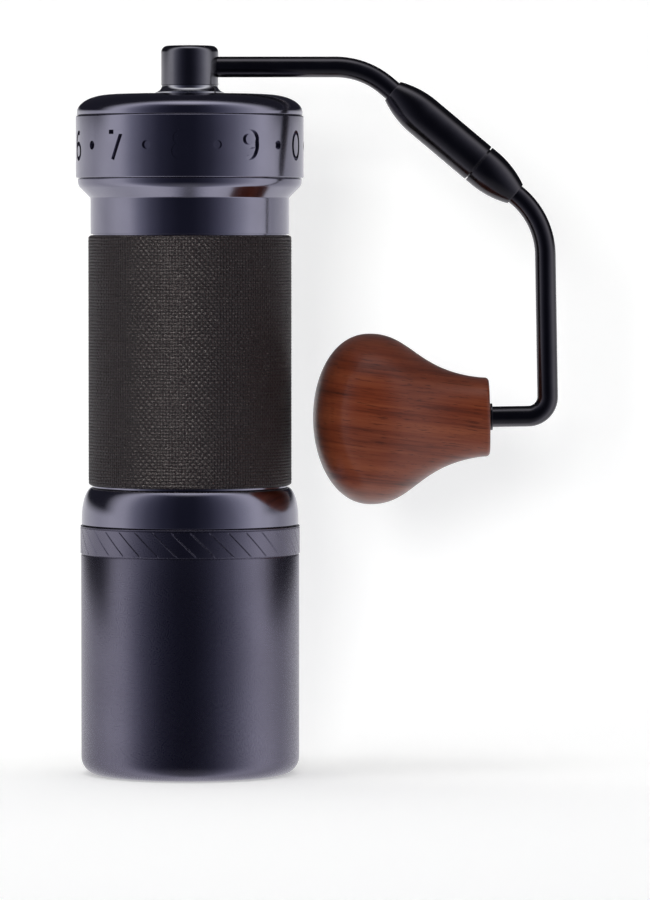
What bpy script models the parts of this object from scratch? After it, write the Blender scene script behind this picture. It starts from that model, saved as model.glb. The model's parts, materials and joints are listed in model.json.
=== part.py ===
"""Hand crank coffee grinder with a folding crank, an outer grind dial and a magnetic catch cup.

The grinder stands on its cup with its axis along +Z and its crank folded down to +X. The origin
is the centre of the cup's base. Sizes are in metres, worked out from the named values below.
"""

import math

import bmesh
import bpy
from mathutils import Matrix, Vector

MM = 0.001

# Clearances
GAP = 0.3 * MM  # between two pieces that rest on each other, or that run in each other
SEAT = 0.15 * MM  # between a small piece and the pocket that it is pressed or bonded into

# Roundness of turned pieces
BIG_SIDES = 32
MEDIUM_SIDES = 20
SMALL_SIDES = 12

# Heights of the stack, from the table up
CUP_HEIGHT = 65.0 * MM
BODY_HEIGHT = 90.0 * MM
DIAL_HEIGHT = 16.0 * MM
LID_HEIGHT = 5.4 * MM
SKIRT_HEIGHT = 2.0 * MM
HUB_HEIGHT = 10.1 * MM

BODY_Z = CUP_HEIGHT + GAP
DIAL_Z = BODY_Z + BODY_HEIGHT + GAP
LID_Z = DIAL_Z + DIAL_HEIGHT + GAP
SKIRT_Z = LID_Z + LID_HEIGHT + GAP
HUB_Z = SKIRT_Z + SKIRT_HEIGHT + GAP

# Widths of the stack, from the body tube outwards
TUBE_R = 25.9 * MM
COLLAR_FLARE = 3.3 * MM
FOOT_FLARE = 2.4 * MM
CUP_PROUD = 0.2 * MM
DIAL_PROUD = 0.5 * MM
LID_INSET = 0.3 * MM

COLLAR_R = TUBE_R + COLLAR_FLARE
BODY_FOOT_R = TUBE_R + FOOT_FLARE
CUP_R = BODY_FOOT_R + CUP_PROUD
DIAL_R = COLLAR_R + DIAL_PROUD
LID_R = DIAL_R - LID_INSET

# Catch cup
CUP_WALL = 2.2 * MM
CUP_FLOOR = 2.6 * MM
CUP_FOOT_FILLET = 4.5 * MM
BAND_HEIGHT = 7.4 * MM
BAND_PROUD = 0.15 * MM
RIM_DEPTH = 10.0 * MM
RIM_RAMP = 2.5 * MM
EDGE = 0.3 * MM  # small chamfer on machined edges

# Grinder body
BODY_FOOT_HEIGHT = 1.6 * MM
SHOULDER_HEIGHT = 8.1 * MM
TUBE_WALL = 2.3 * MM
COLLAR_HEIGHT = 1.6 * MM
COLLAR_FILLET = 2.5 * MM
NECK_WALL = 1.8 * MM

# Grip sleeve
GRIP_LIFT = 10.1 * MM  # from the foot of the body to the sleeve
GRIP_DROP = 14.6 * MM  # from the top of the body to the sleeve
GRIP_THICKNESS = 0.95 * MM
GRIP_PROUD = 0.65 * MM

# Burr set
BURR_INSET = 1.9 * MM  # from the outside of the tube to the outside of the burr
BURR_HEIGHT = 16.7 * MM
BURR_LIFT = 5.7 * MM  # from the foot of the body to the outer burr
BURR_TEETH = 24
TOOTH_DEPTH = 0.6 * MM
MOUTH_WALL = 3.4 * MM  # the outer burr's wall at its mouth
THROAT_WALL = 7.0 * MM
THROAT_STEP = 0.6 * MM  # how much wider the bore is where the throat starts
THROAT_SHARE = 0.5  # share of the burr's height where the throat starts
FUNNEL_SHARE = 0.75  # share of the burr's height where the throat opens to the funnel
FUNNEL_WALL = 2.0 * MM  # the outer burr's wall at its top
BURR_GAP = 1.0 * MM
KNEE_SHARE = 0.45  # share of the outer burr's height where the inner burr's slope changes
INNER_BURR_LIFT = 0.4 * MM
INNER_BURR_TOP_R = 7.5 * MM
INNER_BURR_DROP = 3.6 * MM  # how much lower the inner burr is than the outer one
LOCK_RING_WALL = 2.0 * MM
LOCK_RING_PILOT = 1.8 * MM  # how far the lock ring reaches into the cup
SPANNER_NOTCHES = 4
SPANNER_WIDTH = 3.0 * MM
SPANNER_DEPTH = 1.2 * MM
LEDGE_HEIGHT = 3.0 * MM
LEDGE_WIDTH = 1.2 * MM

# Lower spider
SPIDER_RIM_WIDTH = 1.6 * MM
SPIDER_RIM_HEIGHT = 3.4 * MM
SPIDER_ARM_LIFT = 0.2 * MM
SPIDER_ARM_HEIGHT = 4.4 * MM

# Drive shaft
SHAFT_R = 4.0 * MM
SHAFT_SHOULDER = 1.0 * MM
SHAFT_FOOT = 0.5 * MM  # shaft below the nut
SHAFT_CROWN = 0.7 * MM  # round shaft above its clip
SHAFT_GROOVE = 0.5 * MM
SHOULDER_ROOM = 1.5 * MM  # left under the shoulder at the coarsest setting
HEX_FLATS = 5.8 * MM
NUT_WALL = 1.0 * MM
NUT_HEIGHT = 3.6 * MM
WASHER_R = 8.5 * MM
WASHER_THICKNESS = 0.8 * MM
CLIP_THICKNESS = 0.9 * MM
SHAFT_CLIP_REACH = 1.8 * MM
SHAFT_CLIP_OPENING = 2.0 * MM
PRELOAD_WIRE_R = 0.5 * MM
SPRING_TURNS = 4

# Bearings
UPPER_BEARING_R = 11.0 * MM
UPPER_BEARING_WIDTH = 7.0 * MM
UPPER_BEARING_DROP = 2.9 * MM  # from the foot of the thread to the bearing
LOWER_BEARING_R = 8.0 * MM
LOWER_BEARING_WIDTH = 5.0 * MM
BEARING_WALL = 1.9 * MM  # housing round a bearing
BALLS = 6
RACE = 0.27  # share of a bearing's section that each race takes
LIP = 1.4 * MM  # shelf under each bearing

# Grind adjustment
THREAD_WALL = 1.7 * MM
NECK_RISE = 5.2 * MM  # from the dial's foot to the top of the body's neck
CARRIER_RISE = 1.6 * MM  # finest setting
CARRIER_DROP = 1.4 * MM  # coarsest setting
CARRIER_ROOM = 0.8 * MM  # left under the lid at the finest setting
KEY_COUNT = 3
KEY_WIDTH = 4.4 * MM
KEY_DEPTH = 3.5 * MM  # how far a key reaches down from the threaded ring
KEY_ROOT = 0.5 * MM  # how far a key reaches into the threaded ring
ARM_WIDTH = 4.6 * MM
ARM_INSET = 0.1 * MM
CLIP_GROOVE = 0.9 * MM
CLIP_SHELF = 0.9 * MM  # hub above its clip
BEARING_CLIP_REACH = 1.6 * MM
BEARING_CLIP_OPENING = 4.0 * MM
CLICKS = 50
CLICK_INSET = 1.7 * MM
CLICK_RING_WIDTH = 1.3 * MM
CLICK_RING_HEIGHT = 0.7 * MM
NOTCH_DEPTH = 0.35 * MM
CLICK_BALL_R = 0.8 * MM
CLICK_BALL_LIFT = 0.1 * MM  # between a ball and the crests it runs on
CLICK_POCKET_DEPTH = 5.0 * MM
CLICK_SPRING_R = 0.5 * MM
CLICK_WIRE_R = 0.12 * MM
RETAINER_HEIGHT = 0.8 * MM
RETAINER_LIFT = 0.9 * MM
RETAINER_OPENING = 8.0 * MM

# Lid
LID_RIM = 0.8 * MM
LID_SHOULDER = 9.0 * MM
LID_WALL = 2.0 * MM
SPIGOT_DEPTH = 3.0 * MM
SPIGOT_WALL = 1.5 * MM
SEAL_HEIGHT = 1.0 * MM
SEAL_GROOVE = 0.8 * MM
BUSH_WALL = 1.4 * MM
BUSH_FLANGE = 1.8 * MM
BUSH_FLANGE_HEIGHT = 1.0 * MM

# Magnets
MAGNET_COUNT = 6
MAGNET_R = 1.3 * MM
MAGNET_HEIGHT = 2.0 * MM
MAGNET_INSET = 2.1 * MM
STRIKE_HEIGHT = 1.2 * MM

# Crank hub
HUB_R = 7.45 * MM
HUB_FILLET = 1.7 * MM
STEM_R = 5.5 * MM
STEM_DEPTH = 8.9 * MM
STEM_GROOVE = 0.6 * MM
HUB_CLIP_REACH = 2.1 * MM
HUB_CLIP_OPENING = 3.0 * MM
SOCKET_DEPTH = 9.4 * MM
SOCKET_ROOM = 0.55 * MM  # left over the hexagon at the finest setting
SKIRT_INSET = 0.15 * MM  # from the hub's side to the flare's top
SKIRT_PROUD = 1.45 * MM  # from the hub's side to the flare's foot
SKIRT_LIP = 0.3 * MM
SKIRT_CURVE = 0.5 * MM  # how far outside the foot the flare's centre is

# Crank arms, seen from the front: a heading is in degrees below +X
ROD_R = 2.7 * MM
ROD_SIDES = 12
ARM_LIFT = 4.6 * MM  # arm axis above the underside of the hub
ARM_START = 1.5 * MM
ARM_STRAIGHT = 36.5 * MM
ARM_BEND_R = 20.4 * MM
SLEEVE_SLOPE = 40.0
SLEEVE_STAND_OFF = 2.35 * MM
LOWER_STAND_OFF = 0.8 * MM
DROP_SLOPE = 89.0
DROP_STRAIGHT = 37.0 * MM
CORNER_R = 5.1 * MM
KNOB_STAND_OFF = 10.2 * MM
ROD_IN_KNOB = 32.0 * MM

# Folding sleeve
SLEEVE_R = 5.44 * MM
SLEEVE_TIP_WALL = 0.45 * MM
SLEEVE_TAPER = 10.4 * MM
SLEEVE_UPPER = 29.1 * MM
SLEEVE_LOWER = 12.3 * MM
ROD_SOCKET = 7.0 * MM
LOWER_ROD_SOCKET = 5.0 * MM
PIN_R = 1.8 * MM
PIN_HEAD_R = 3.2 * MM
PIN_HEAD = 1.4 * MM
PIN_ANCHOR = 5.6 * MM  # length of pin in the lower half of the sleeve
SLEEVE_BORE_R = 3.9 * MM
SLEEVE_BORE_DEPTH = 15.0 * MM
FOLD_BUSH_LENGTH = 4.5 * MM
FOLD_WIRE_R = 0.35 * MM

# Knob
KNOB_LENGTH = 46.1 * MM
KNOB_FACE_R = 10.3 * MM
KNOB_R = 22.3 * MM
KNOB_SWELL = 31.1 * MM  # from the face to the widest place
KNOB_ROUNDNESS = 2.15
KNOB_FILLET = 1.3 * MM
KNOB_FACE_INSET = 0.8 * MM
KNOB_NECK_FLARE = 1.7 * MM
KNOB_NECK_SHARE = 0.61  # shares of the way to the swell that the neck's curve is held to
KNOB_SWELL_SHARE = 0.64
KNOB_BUSH_INSET = 0.4 * MM
KNOB_BUSH_LENGTH = 26.0 * MM
KNOB_BUSH_WALL = 1.2 * MM
KNOB_BORE_ROOM = 1.0 * MM
KNOB_WASHER_WIDTH = 0.8 * MM
KNOB_WASHER_THICKNESS = 0.6 * MM
KNOB_CLIP_OPENING = 1.5 * MM

# Places that follow from the sizes above
BORE_R = TUBE_R - TUBE_WALL
NECK_R = BORE_R + NECK_WALL
DIAL_BORE_R = NECK_R + 2 * GAP
GRIP_R = TUBE_R + GRIP_PROUD
GRIP_SEAT_R = GRIP_R - GRIP_THICKNESS - GAP
GRIP_Z = BODY_Z + GRIP_LIFT
GRIP_HEIGHT = BODY_HEIGHT - GRIP_LIFT - GRIP_DROP
BURR_R = TUBE_R - BURR_INSET
BURR_MOUTH_R = BURR_R - MOUTH_WALL
BURR_THROAT_R = BURR_R - THROAT_WALL
BURR_Z = BODY_Z + BURR_LIFT
BURR_BORE_R = BURR_R + GAP
INNER_BURR_Z = BURR_Z + INNER_BURR_LIFT
INNER_BURR_HEIGHT = BURR_HEIGHT - INNER_BURR_DROP
LEDGE_Z = BURR_Z + BURR_HEIGHT + GAP
SPIDER_Z = LEDGE_Z + LEDGE_HEIGHT + GAP
MAGNET_CIRCLE = BODY_FOOT_R - MAGNET_INSET
CLICK_CIRCLE = DIAL_R - CLICK_INSET
CLICK_GROOVE_R = CLICK_CIRCLE + CLICK_RING_WIDTH / 2 + SEAT
CLICK_RING_R = CLICK_GROOVE_R * math.cos(math.pi / BIG_SIDES) - SEAT / 2  # clears the flats
NECK_TOP_Z = DIAL_Z + NECK_RISE
THREAD_Z = NECK_TOP_Z + CARRIER_DROP + GAP
THREAD_HEIGHT = LID_Z - SPIGOT_DEPTH - CARRIER_ROOM - CARRIER_RISE - THREAD_Z
THREAD_R = DIAL_BORE_R - GAP
LOWER_BEARING_Z = SPIDER_Z + LIP + GAP
UPPER_BEARING_Z = THREAD_Z - UPPER_BEARING_DROP
CLIP_Z = UPPER_BEARING_Z + UPPER_BEARING_WIDTH + GAP
SHAFT_SHOULDER_R = SHAFT_R + SHAFT_SHOULDER
SOCKET_R = SHAFT_R + SEAT  # bore of whatever sits on the shaft
PRELOAD_R = (SHAFT_R + LOWER_BEARING_R - LIP) / 2
HEX_TOP_Z = HUB_Z - STEM_DEPTH + SOCKET_DEPTH - CARRIER_RISE - SOCKET_ROOM
SPIGOT_R = DIAL_BORE_R - GAP
STEM_HOLE_R = STEM_R + GAP
BUSH_R = STEM_HOLE_R + BUSH_WALL
BUSH_FLANGE_Z = LID_Z + LID_HEIGHT - LID_WALL - GAP - BUSH_FLANGE_HEIGHT
STEM_CLIP_Z = BUSH_FLANGE_Z - 2 * GAP - CLIP_THICKNESS
SKIRT_TOP_R = HUB_R - SKIRT_INSET
SKIRT_R = HUB_R + SKIRT_PROUD
ARM_Z = HUB_Z + ARM_LIFT
ROD_HOLE_R = ROD_R + SEAT
SLEEVE_TIP_R = ROD_R + SLEEVE_TIP_WALL
PIN_HOLE_R = PIN_R + SEAT
KNOB_WASHER_R = ROD_R + KNOB_WASHER_WIDTH


def finish(name, colour, roughness, metallic=1.0):
    """A Principled finish under the given name, made once."""
    found = bpy.data.materials.get(name)
    if found:
        return found
    made = bpy.data.materials.new(name)
    made.use_nodes = True
    shader = made.node_tree.nodes["Principled BSDF"]
    shader.inputs["Base Color"].default_value = (*colour, 1.0)
    shader.inputs["Roughness"].default_value = roughness
    shader.inputs["Metallic"].default_value = metallic
    return made


def anodised():
    """Dark anodising on the cup, body, dial and lid."""
    return finish("dark_anodised_aluminium", (0.075, 0.072, 0.095), 0.38)


def black_coat():
    """Black coating on the crank's arms and sleeve."""
    return finish("black_coated_steel", (0.012, 0.011, 0.013), 0.36)


def hub_steel():
    """Satin black of the crank's hub."""
    return finish("satin_black_hub", (0.05, 0.05, 0.055), 0.35)


def polished_steel():
    """Bright steel of bearing races, washers and the nut."""
    return finish("polished_steel", (0.62, 0.62, 0.64), 0.16)


def bare_aluminium():
    """Machined aluminium of the carrier, the spider and the lock ring."""
    return finish("bare_aluminium", (0.6, 0.6, 0.61), 0.4)


def burr_steel():
    """Hardened steel of the burrs."""
    return finish("burr_steel", (0.45, 0.44, 0.43), 0.32)


def spring_steel():
    """Steel of the shaft, the springs and the clips."""
    return finish("spring_steel", (0.5, 0.5, 0.52), 0.25)


def bronze():
    """Sintered bronze of the plain bushes."""
    return finish("sintered_bronze", (0.48, 0.29, 0.13), 0.45)


def magnet_plate():
    """Nickel plate on the cup's magnets."""
    return finish("nickel_plated_magnet", (0.66, 0.65, 0.62), 0.2)


def grip_rubber():
    """Dark brown rubber of the grip sleeve."""
    return finish("woven_texture_rubber", (0.026, 0.018, 0.017), 0.62, 0.0)


def seal_rubber():
    """Black silicone of the lid's seal."""
    return finish("silicone_seal", (0.02, 0.02, 0.02), 0.55, 0.0)


def wood():
    """Reddish lacquered wood of the knob."""
    return finish("lacquered_wood", (0.17, 0.05, 0.024), 0.34, 0.0)


def joint_frame(name, place, axis, parent=None):
    """An empty on a joint's axis, with its own Z along that axis."""
    frame = bpy.data.objects.new(name, None)
    frame.empty_display_size = 0.01
    turn = Vector((0, 0, 1)).rotation_difference(Vector(axis)).to_matrix().to_4x4()
    frame.matrix_world = Matrix.Translation(place) @ turn
    bpy.context.scene.collection.objects.link(frame)
    if parent:
        frame.parent = parent
        frame.matrix_parent_inverse = parent.matrix_world.inverted()
    return frame


def add_object(name, bm, material, parent, in_world=False):
    """Puts a mesh in the scene under its joint frame, with round faces shaded smooth.

    The mesh is in the frame's own coordinates, or in the world's if in_world is set.
    """
    mesh = bpy.data.meshes.new(name)
    bmesh.ops.recalc_face_normals(bm, faces=bm.faces)
    bm.to_mesh(mesh)
    bm.free()
    mesh.shade_smooth()
    mesh.set_sharp_from_angle(angle=math.radians(32))
    mesh.materials.append(material)
    thing = bpy.data.objects.new(name, mesh)
    bpy.context.scene.collection.objects.link(thing)
    if parent:
        thing.parent = parent
        if in_world:
            thing.matrix_parent_inverse = parent.matrix_world.inverted()
    return thing


def spun(outline, sides, bm=None):
    """The solid turned about Z from its closed half section, a list of (radius, height)."""
    bm = bm or bmesh.new()
    corners = [bm.verts.new((radius, 0, height)) for radius, height in outline]
    lines = [
        bm.edges.new((start, end))
        for start, end in zip(corners, corners[1:] + corners[:1])
        if start.co.x > 0 or end.co.x > 0
    ]
    bmesh.ops.spin(
        bm,
        geom=corners + lines,
        cent=(0, 0, 0),
        axis=(0, 0, 1),
        angle=2 * math.pi,
        steps=sides,
        use_merge=True,
    )
    bmesh.ops.remove_doubles(bm, verts=bm.verts, dist=1e-6)
    return bm


def turned(name, outline, material, parent, sides=BIG_SIDES):
    """A turned piece, from its half section."""
    return add_object(name, spun(outline, sides), material, parent)


def ring_outline(inner, outer, low, high):
    """The half section of a plain ring."""
    return [(inner, low), (outer, low), (outer, high), (inner, high)]


def arc(centre, radii, start, end, steps):
    """Points on part of an ellipse in the half section, from one angle in degrees to another."""
    points = []
    for step in range(steps + 1):
        angle = math.radians(start + (end - start) * step / steps)
        points.append(
            (centre[0] + radii[0] * math.cos(angle), centre[1] + radii[1] * math.sin(angle))
        )
    return points


def toothed(outline_at, divisions):
    """A ring whose half section changes round the axis: outline_at(index) gives each section."""
    bm = bmesh.new()
    rings = []
    for index in range(divisions):
        angle = 2 * math.pi * index / divisions
        rings.append(
            [
                bm.verts.new((radius * math.cos(angle), radius * math.sin(angle), height))
                for radius, height in outline_at(index)
            ]
        )
    for near, far in zip(rings, rings[1:] + rings[:1]):
        for first in range(len(near)):
            second = (first + 1) % len(near)
            bm.faces.new((near[first], far[first], far[second], near[second]))
    return bm


def prism(bm, sides, radius, low, high, centre=(0, 0), turn=0.0):
    """Adds an upright prism to a mesh."""
    made = bmesh.ops.create_cone(
        bm,
        cap_ends=True,
        segments=sides,
        radius1=radius,
        radius2=radius,
        depth=high - low,
        matrix=Matrix.Translation((*centre, (low + high) / 2))
        @ Matrix.Rotation(math.radians(turn), 4, "Z"),
    )
    return made["verts"]


def block(bm, low, high, turn=0.0):
    """Adds a box between two corners to a mesh, then turns it about Z by some degrees."""
    size = Vector(high) - Vector(low)
    middle = (Vector(high) + Vector(low)) / 2
    made = bmesh.ops.create_cube(
        bm,
        size=1.0,
        matrix=Matrix.Rotation(math.radians(turn), 4, "Z")
        @ Matrix.Translation(middle)
        @ Matrix.Diagonal((*size, 1.0)),
    )
    return made["verts"]


def tool(name, bm, parent):
    """A shape that only cuts or joins others: it is drawn as wire and isn't rendered."""
    shape = add_object(name, bm, wood(), parent)
    shape.hide_render = True
    shape.display_type = "WIRE"
    return shape


def combine(piece, other, operation):
    """Cuts a tool from a piece, or joins it on."""
    step = piece.modifiers.new(other.name, "BOOLEAN")
    step.operation = operation
    step.solver = "EXACT"
    step.object = other


def around(count, start=0.0):
    """Angles in degrees of a pattern round the axis."""
    return [start + 360.0 * index / count for index in range(count)]


def on_circle(radius, degrees):
    """A place on a circle round the axis."""
    angle = math.radians(degrees)
    return (radius * math.cos(angle), radius * math.sin(angle))


def hexagon_radius(flats):
    """Corner radius of a hexagon, from its width across flats."""
    return flats / math.sqrt(3)


def route(place, heading, legs):
    """Stations (x, z, heading) along a rod bent in the XZ plane.

    Each leg is a straight length, then a bend in degrees on a radius. A positive bend turns
    the heading further below +X.
    """
    x, z = place
    stations = [(x, z, heading)]
    for length, bend, radius in legs:
        x += length * math.cos(math.radians(heading))
        z -= length * math.sin(math.radians(heading))
        stations.append((x, z, heading))
        steps = math.ceil(bend / 13)
        for _ in range(steps):
            start, end = math.radians(heading), math.radians(heading + bend / steps)
            x += radius * (math.sin(end) - math.sin(start))
            z -= radius * (math.cos(start) - math.cos(end))
            heading += bend / steps
            stations.append((x, z, heading))
    return stations


def bent_rod(stations, radius, sides):
    """A round rod along the stations of a route, with flat ends."""
    bm = bmesh.new()
    rings = []
    for x, z, heading in stations:
        slope = math.radians(heading)
        across = Vector((math.sin(slope), 0, math.cos(slope)))
        ring = []
        for index in range(sides):
            angle = 2 * math.pi * index / sides
            offset = across * math.cos(angle) + Vector((0, 1, 0)) * math.sin(angle)
            ring.append(bm.verts.new(Vector((x, 0, z)) + offset * radius))
        rings.append(ring)
    for near, far in zip(rings, rings[1:]):
        for first in range(sides):
            second = (first + 1) % sides
            bm.faces.new((near[first], near[second], far[second], far[first]))
    bm.faces.new(rings[0])
    bm.faces.new(rings[-1])
    return bm


def coil(mean_r, wire_r, low, high, turns, sides=5, steps=9, centre=(0, 0)):
    """A compression spring standing between two heights."""
    bm = bmesh.new()
    count = int(turns * steps)
    rise = high - low - 2 * wire_r
    rings = []
    for index in range(count + 1):
        angle = 2 * math.pi * index / steps
        height = low + wire_r + rise * index / count
        out = Vector((math.cos(angle), math.sin(angle), 0))
        ring = []
        for side in range(sides):
            tilt = 2 * math.pi * side / sides
            offset = out * math.cos(tilt) + Vector((0, 0, 1)) * math.sin(tilt)
            ring.append(
                bm.verts.new(
                    out * mean_r + Vector((*centre, height)) + offset * wire_r
                )
            )
        rings.append(ring)
    for near, far in zip(rings, rings[1:]):
        for first in range(sides):
            second = (first + 1) % sides
            bm.faces.new((near[first], near[second], far[second], far[first]))
    bm.faces.new(rings[0])
    bm.faces.new(rings[-1])
    return bm


def split_ring(name, inner, outer, low, height, opening, parent, sides=MEDIUM_SIDES):
    """A spring steel retaining ring with an open gap of a given width, on +X."""
    outline = ring_outline(inner, outer, low, low + height)
    ring = turned(name, outline, spring_steel(), parent, sides)
    cutter = bmesh.new()
    block(cutter, (0, -opening / 2, low - MM), (outer + MM, opening / 2, low + height + MM))
    combine(ring, tool(name + "_cutter", cutter, parent), "DIFFERENCE")
    return ring


def bearing(name, parent_outer, parent_cage, parent_inner, outer_r, low, width):
    """A deep groove ball bearing on the shaft: outer race, caged balls and inner race."""
    section = outer_r - SOCKET_R
    race = RACE * section
    middle = (outer_r + SOCKET_R) / 2
    ball_r = section / 2 - race - SEAT
    high = low + width
    centre = (low + high) / 2
    turned(
        name + "_outer",
        ring_outline(outer_r - race, outer_r, low, high),
        polished_steel(),
        parent_outer,
        MEDIUM_SIDES,
    )
    turned(
        name + "_inner",
        ring_outline(SOCKET_R, SOCKET_R + race, low, high),
        polished_steel(),
        parent_inner,
        MEDIUM_SIDES,
    )
    cage = turned(
        name + "_balls",
        ring_outline(
            middle - 0.4 * ball_r, middle + 0.4 * ball_r, centre - 0.5 * ball_r, centre + 0.5 * ball_r
        ),
        spring_steel(),
        parent_cage,
        MEDIUM_SIDES,
    )
    spheres = bmesh.new()
    for angle in around(BALLS):
        bmesh.ops.create_icosphere(
            spheres,
            subdivisions=1,
            radius=ball_r,
            matrix=Matrix.Translation((*on_circle(middle, angle), centre)),
        )
    combine(cage, tool(name + "_ball_set", spheres, parent_cage), "UNION")


def build_catch_cup(parent):
    """The cup, with its thick magnetic rim."""
    inner_r = CUP_R - CUP_WALL
    rim_r = BURR_R + GAP
    band_r = CUP_R + BAND_PROUD
    band_z = CUP_HEIGHT - BAND_HEIGHT
    foot = CUP_FOOT_FILLET
    outline = [(0, 0)]
    outline += arc((CUP_R - foot, foot), (foot, foot), -90, 0, 5)
    outline += [
        (CUP_R, band_z - EDGE),
        (CUP_R - EDGE, band_z),
        (band_r, band_z + EDGE),
        (band_r, CUP_HEIGHT - EDGE),
        (band_r - EDGE, CUP_HEIGHT),
        (rim_r, CUP_HEIGHT),
        (rim_r, CUP_HEIGHT - RIM_DEPTH),
        (inner_r, CUP_HEIGHT - RIM_DEPTH - RIM_RAMP),
    ]
    outline += arc((inner_r - foot, CUP_FLOOR + foot), (foot, foot), 0, -90, 3)
    outline += [(0, CUP_FLOOR)]
    cup = turned("catch_cup", outline, anodised(), parent)
    pockets = bmesh.new()
    pocket_z = CUP_HEIGHT - MAGNET_HEIGHT - 2 * SEAT
    for index, angle in enumerate(around(MAGNET_COUNT, 30)):
        place = on_circle(MAGNET_CIRCLE, angle)
        prism(pockets, SMALL_SIDES, MAGNET_R + SEAT, pocket_z, CUP_HEIGHT + MM, place)
        magnet = bmesh.new()
        low = pocket_z + SEAT
        prism(magnet, SMALL_SIDES, MAGNET_R, low, low + MAGNET_HEIGHT, place)
        add_object(f"cup_magnet_{index + 1}", magnet, magnet_plate(), parent)
    combine(cup, tool("magnet_pockets", pockets, parent), "DIFFERENCE")


def body_outline():
    """The body's half section, from its foot up the outside and down the bore."""
    top = BODY_Z + BODY_HEIGHT
    flare = math.sqrt(0.5)
    fillet = COLLAR_FILLET
    fillet_z = top - COLLAR_HEIGHT + fillet * math.tan(math.radians(22.5))
    slope_foot = top - COLLAR_HEIGHT - (COLLAR_R - TUBE_R)
    groove_low = DIAL_Z + RETAINER_LIFT - 2 * SEAT
    groove_high = groove_low + RETAINER_HEIGHT + 2 * SEAT
    outline = [(BODY_FOOT_R - EDGE, BODY_Z), (BODY_FOOT_R, BODY_Z + EDGE)]
    outline += arc(
        (GRIP_SEAT_R, BODY_Z + BODY_FOOT_HEIGHT),
        (BODY_FOOT_R - GRIP_SEAT_R, SHOULDER_HEIGHT),
        0,
        90,
        5,
    )
    outline += [
        (GRIP_SEAT_R, GRIP_Z + GRIP_HEIGHT + GAP),
        (TUBE_R, GRIP_Z + GRIP_HEIGHT + GAP),
        (TUBE_R, slope_foot),
        (COLLAR_R - fillet * (1 - flare), fillet_z - fillet * flare),
        (COLLAR_R, fillet_z),
        (COLLAR_R, top - EDGE),
        (COLLAR_R - EDGE, top),
    ]
    click_inner = CLICK_CIRCLE - CLICK_RING_WIDTH / 2 - SEAT
    click_floor = top - CLICK_RING_HEIGHT - 2 * SEAT
    outline += [
        (CLICK_GROOVE_R, top),
        (CLICK_GROOVE_R, click_floor),
        (click_inner, click_floor),
        (click_inner, top),
        (NECK_R, top),
        (NECK_R, groove_low),
        (NECK_R - NECK_WALL / 2, groove_low),
        (NECK_R - NECK_WALL / 2, groove_high),
        (NECK_R, groove_high),
        (NECK_R, NECK_TOP_Z),
        (BORE_R, NECK_TOP_Z),
        (BORE_R, LEDGE_Z + LEDGE_HEIGHT),
        (BORE_R - LEDGE_WIDTH, LEDGE_Z + LEDGE_HEIGHT),
        (BORE_R - LEDGE_WIDTH, LEDGE_Z),
        (BURR_BORE_R, LEDGE_Z),
        (BURR_BORE_R, BODY_Z),
        (MAGNET_CIRCLE - MAGNET_R, BODY_Z),
        (MAGNET_CIRCLE - MAGNET_R, BODY_Z + STRIKE_HEIGHT + SEAT),
        (MAGNET_CIRCLE + MAGNET_R, BODY_Z + STRIKE_HEIGHT + SEAT),
        (MAGNET_CIRCLE + MAGNET_R, BODY_Z),
    ]
    return outline


def build_housing(parent):
    """The body tube and what is fixed in and on it."""
    body = turned("main_body", body_outline(), anodised(), parent)
    slots = bmesh.new()
    slot_floor = THREAD_Z - KEY_DEPTH - CARRIER_DROP - GAP
    for angle in around(KEY_COUNT, 90):
        block(
            slots,
            (BORE_R - MM, -KEY_WIDTH / 2 - GAP, slot_floor),
            (NECK_R + MM, KEY_WIDTH / 2 + GAP, NECK_TOP_Z + MM),
            angle,
        )
    combine(body, tool("key_slots", slots, parent), "DIFFERENCE")
    turned(
        "grip_sleeve",
        ring_outline(GRIP_R - GRIP_THICKNESS, GRIP_R, GRIP_Z, GRIP_Z + GRIP_HEIGHT),
        grip_rubber(),
        parent,
    )
    strike_inset = MAGNET_R - SEAT
    turned(
        "strike_ring",
        ring_outline(
            MAGNET_CIRCLE - strike_inset, MAGNET_CIRCLE + strike_inset, BODY_Z, BODY_Z + STRIKE_HEIGHT
        ),
        polished_steel(),
        parent,
    )
    build_outer_burr(parent)
    build_lock_ring(parent)
    build_spider(parent)
    build_click_ring(parent)
    split_ring(
        "dial_retainer",
        NECK_R - NECK_WALL / 2 + SEAT,
        DIAL_BORE_R + NECK_WALL / 2 - SEAT,
        DIAL_Z + RETAINER_LIFT - SEAT,
        RETAINER_HEIGHT,
        RETAINER_OPENING,
        parent,
        BIG_SIDES,
    )
    coil_low = INNER_BURR_Z + INNER_BURR_HEIGHT + GAP
    coil_high = LOWER_BEARING_Z - GAP
    spring = coil(PRELOAD_R, PRELOAD_WIRE_R, coil_low, coil_high, SPRING_TURNS)
    add_object("preload_spring", spring, spring_steel(), parent)


def build_outer_burr(parent):
    """The fixed burr: its conical bore has cutting teeth, and opens to a feed funnel above."""
    funnel_z = BURR_Z + FUNNEL_SHARE * BURR_HEIGHT
    throat_z = BURR_Z + THROAT_SHARE * BURR_HEIGHT
    top = BURR_Z + BURR_HEIGHT

    def section(index):
        tooth = TOOTH_DEPTH * (index % 2)
        return [
            (BURR_MOUTH_R + tooth, BURR_Z),
            (BURR_R, BURR_Z),
            (BURR_R, top),
            (BURR_R - FUNNEL_WALL, top),
            (BURR_THROAT_R + tooth, funnel_z),
            (BURR_THROAT_R + THROAT_STEP + tooth, throat_z),
        ]

    add_object("outer_burr", toothed(section, 2 * BURR_TEETH), burr_steel(), parent)


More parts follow.
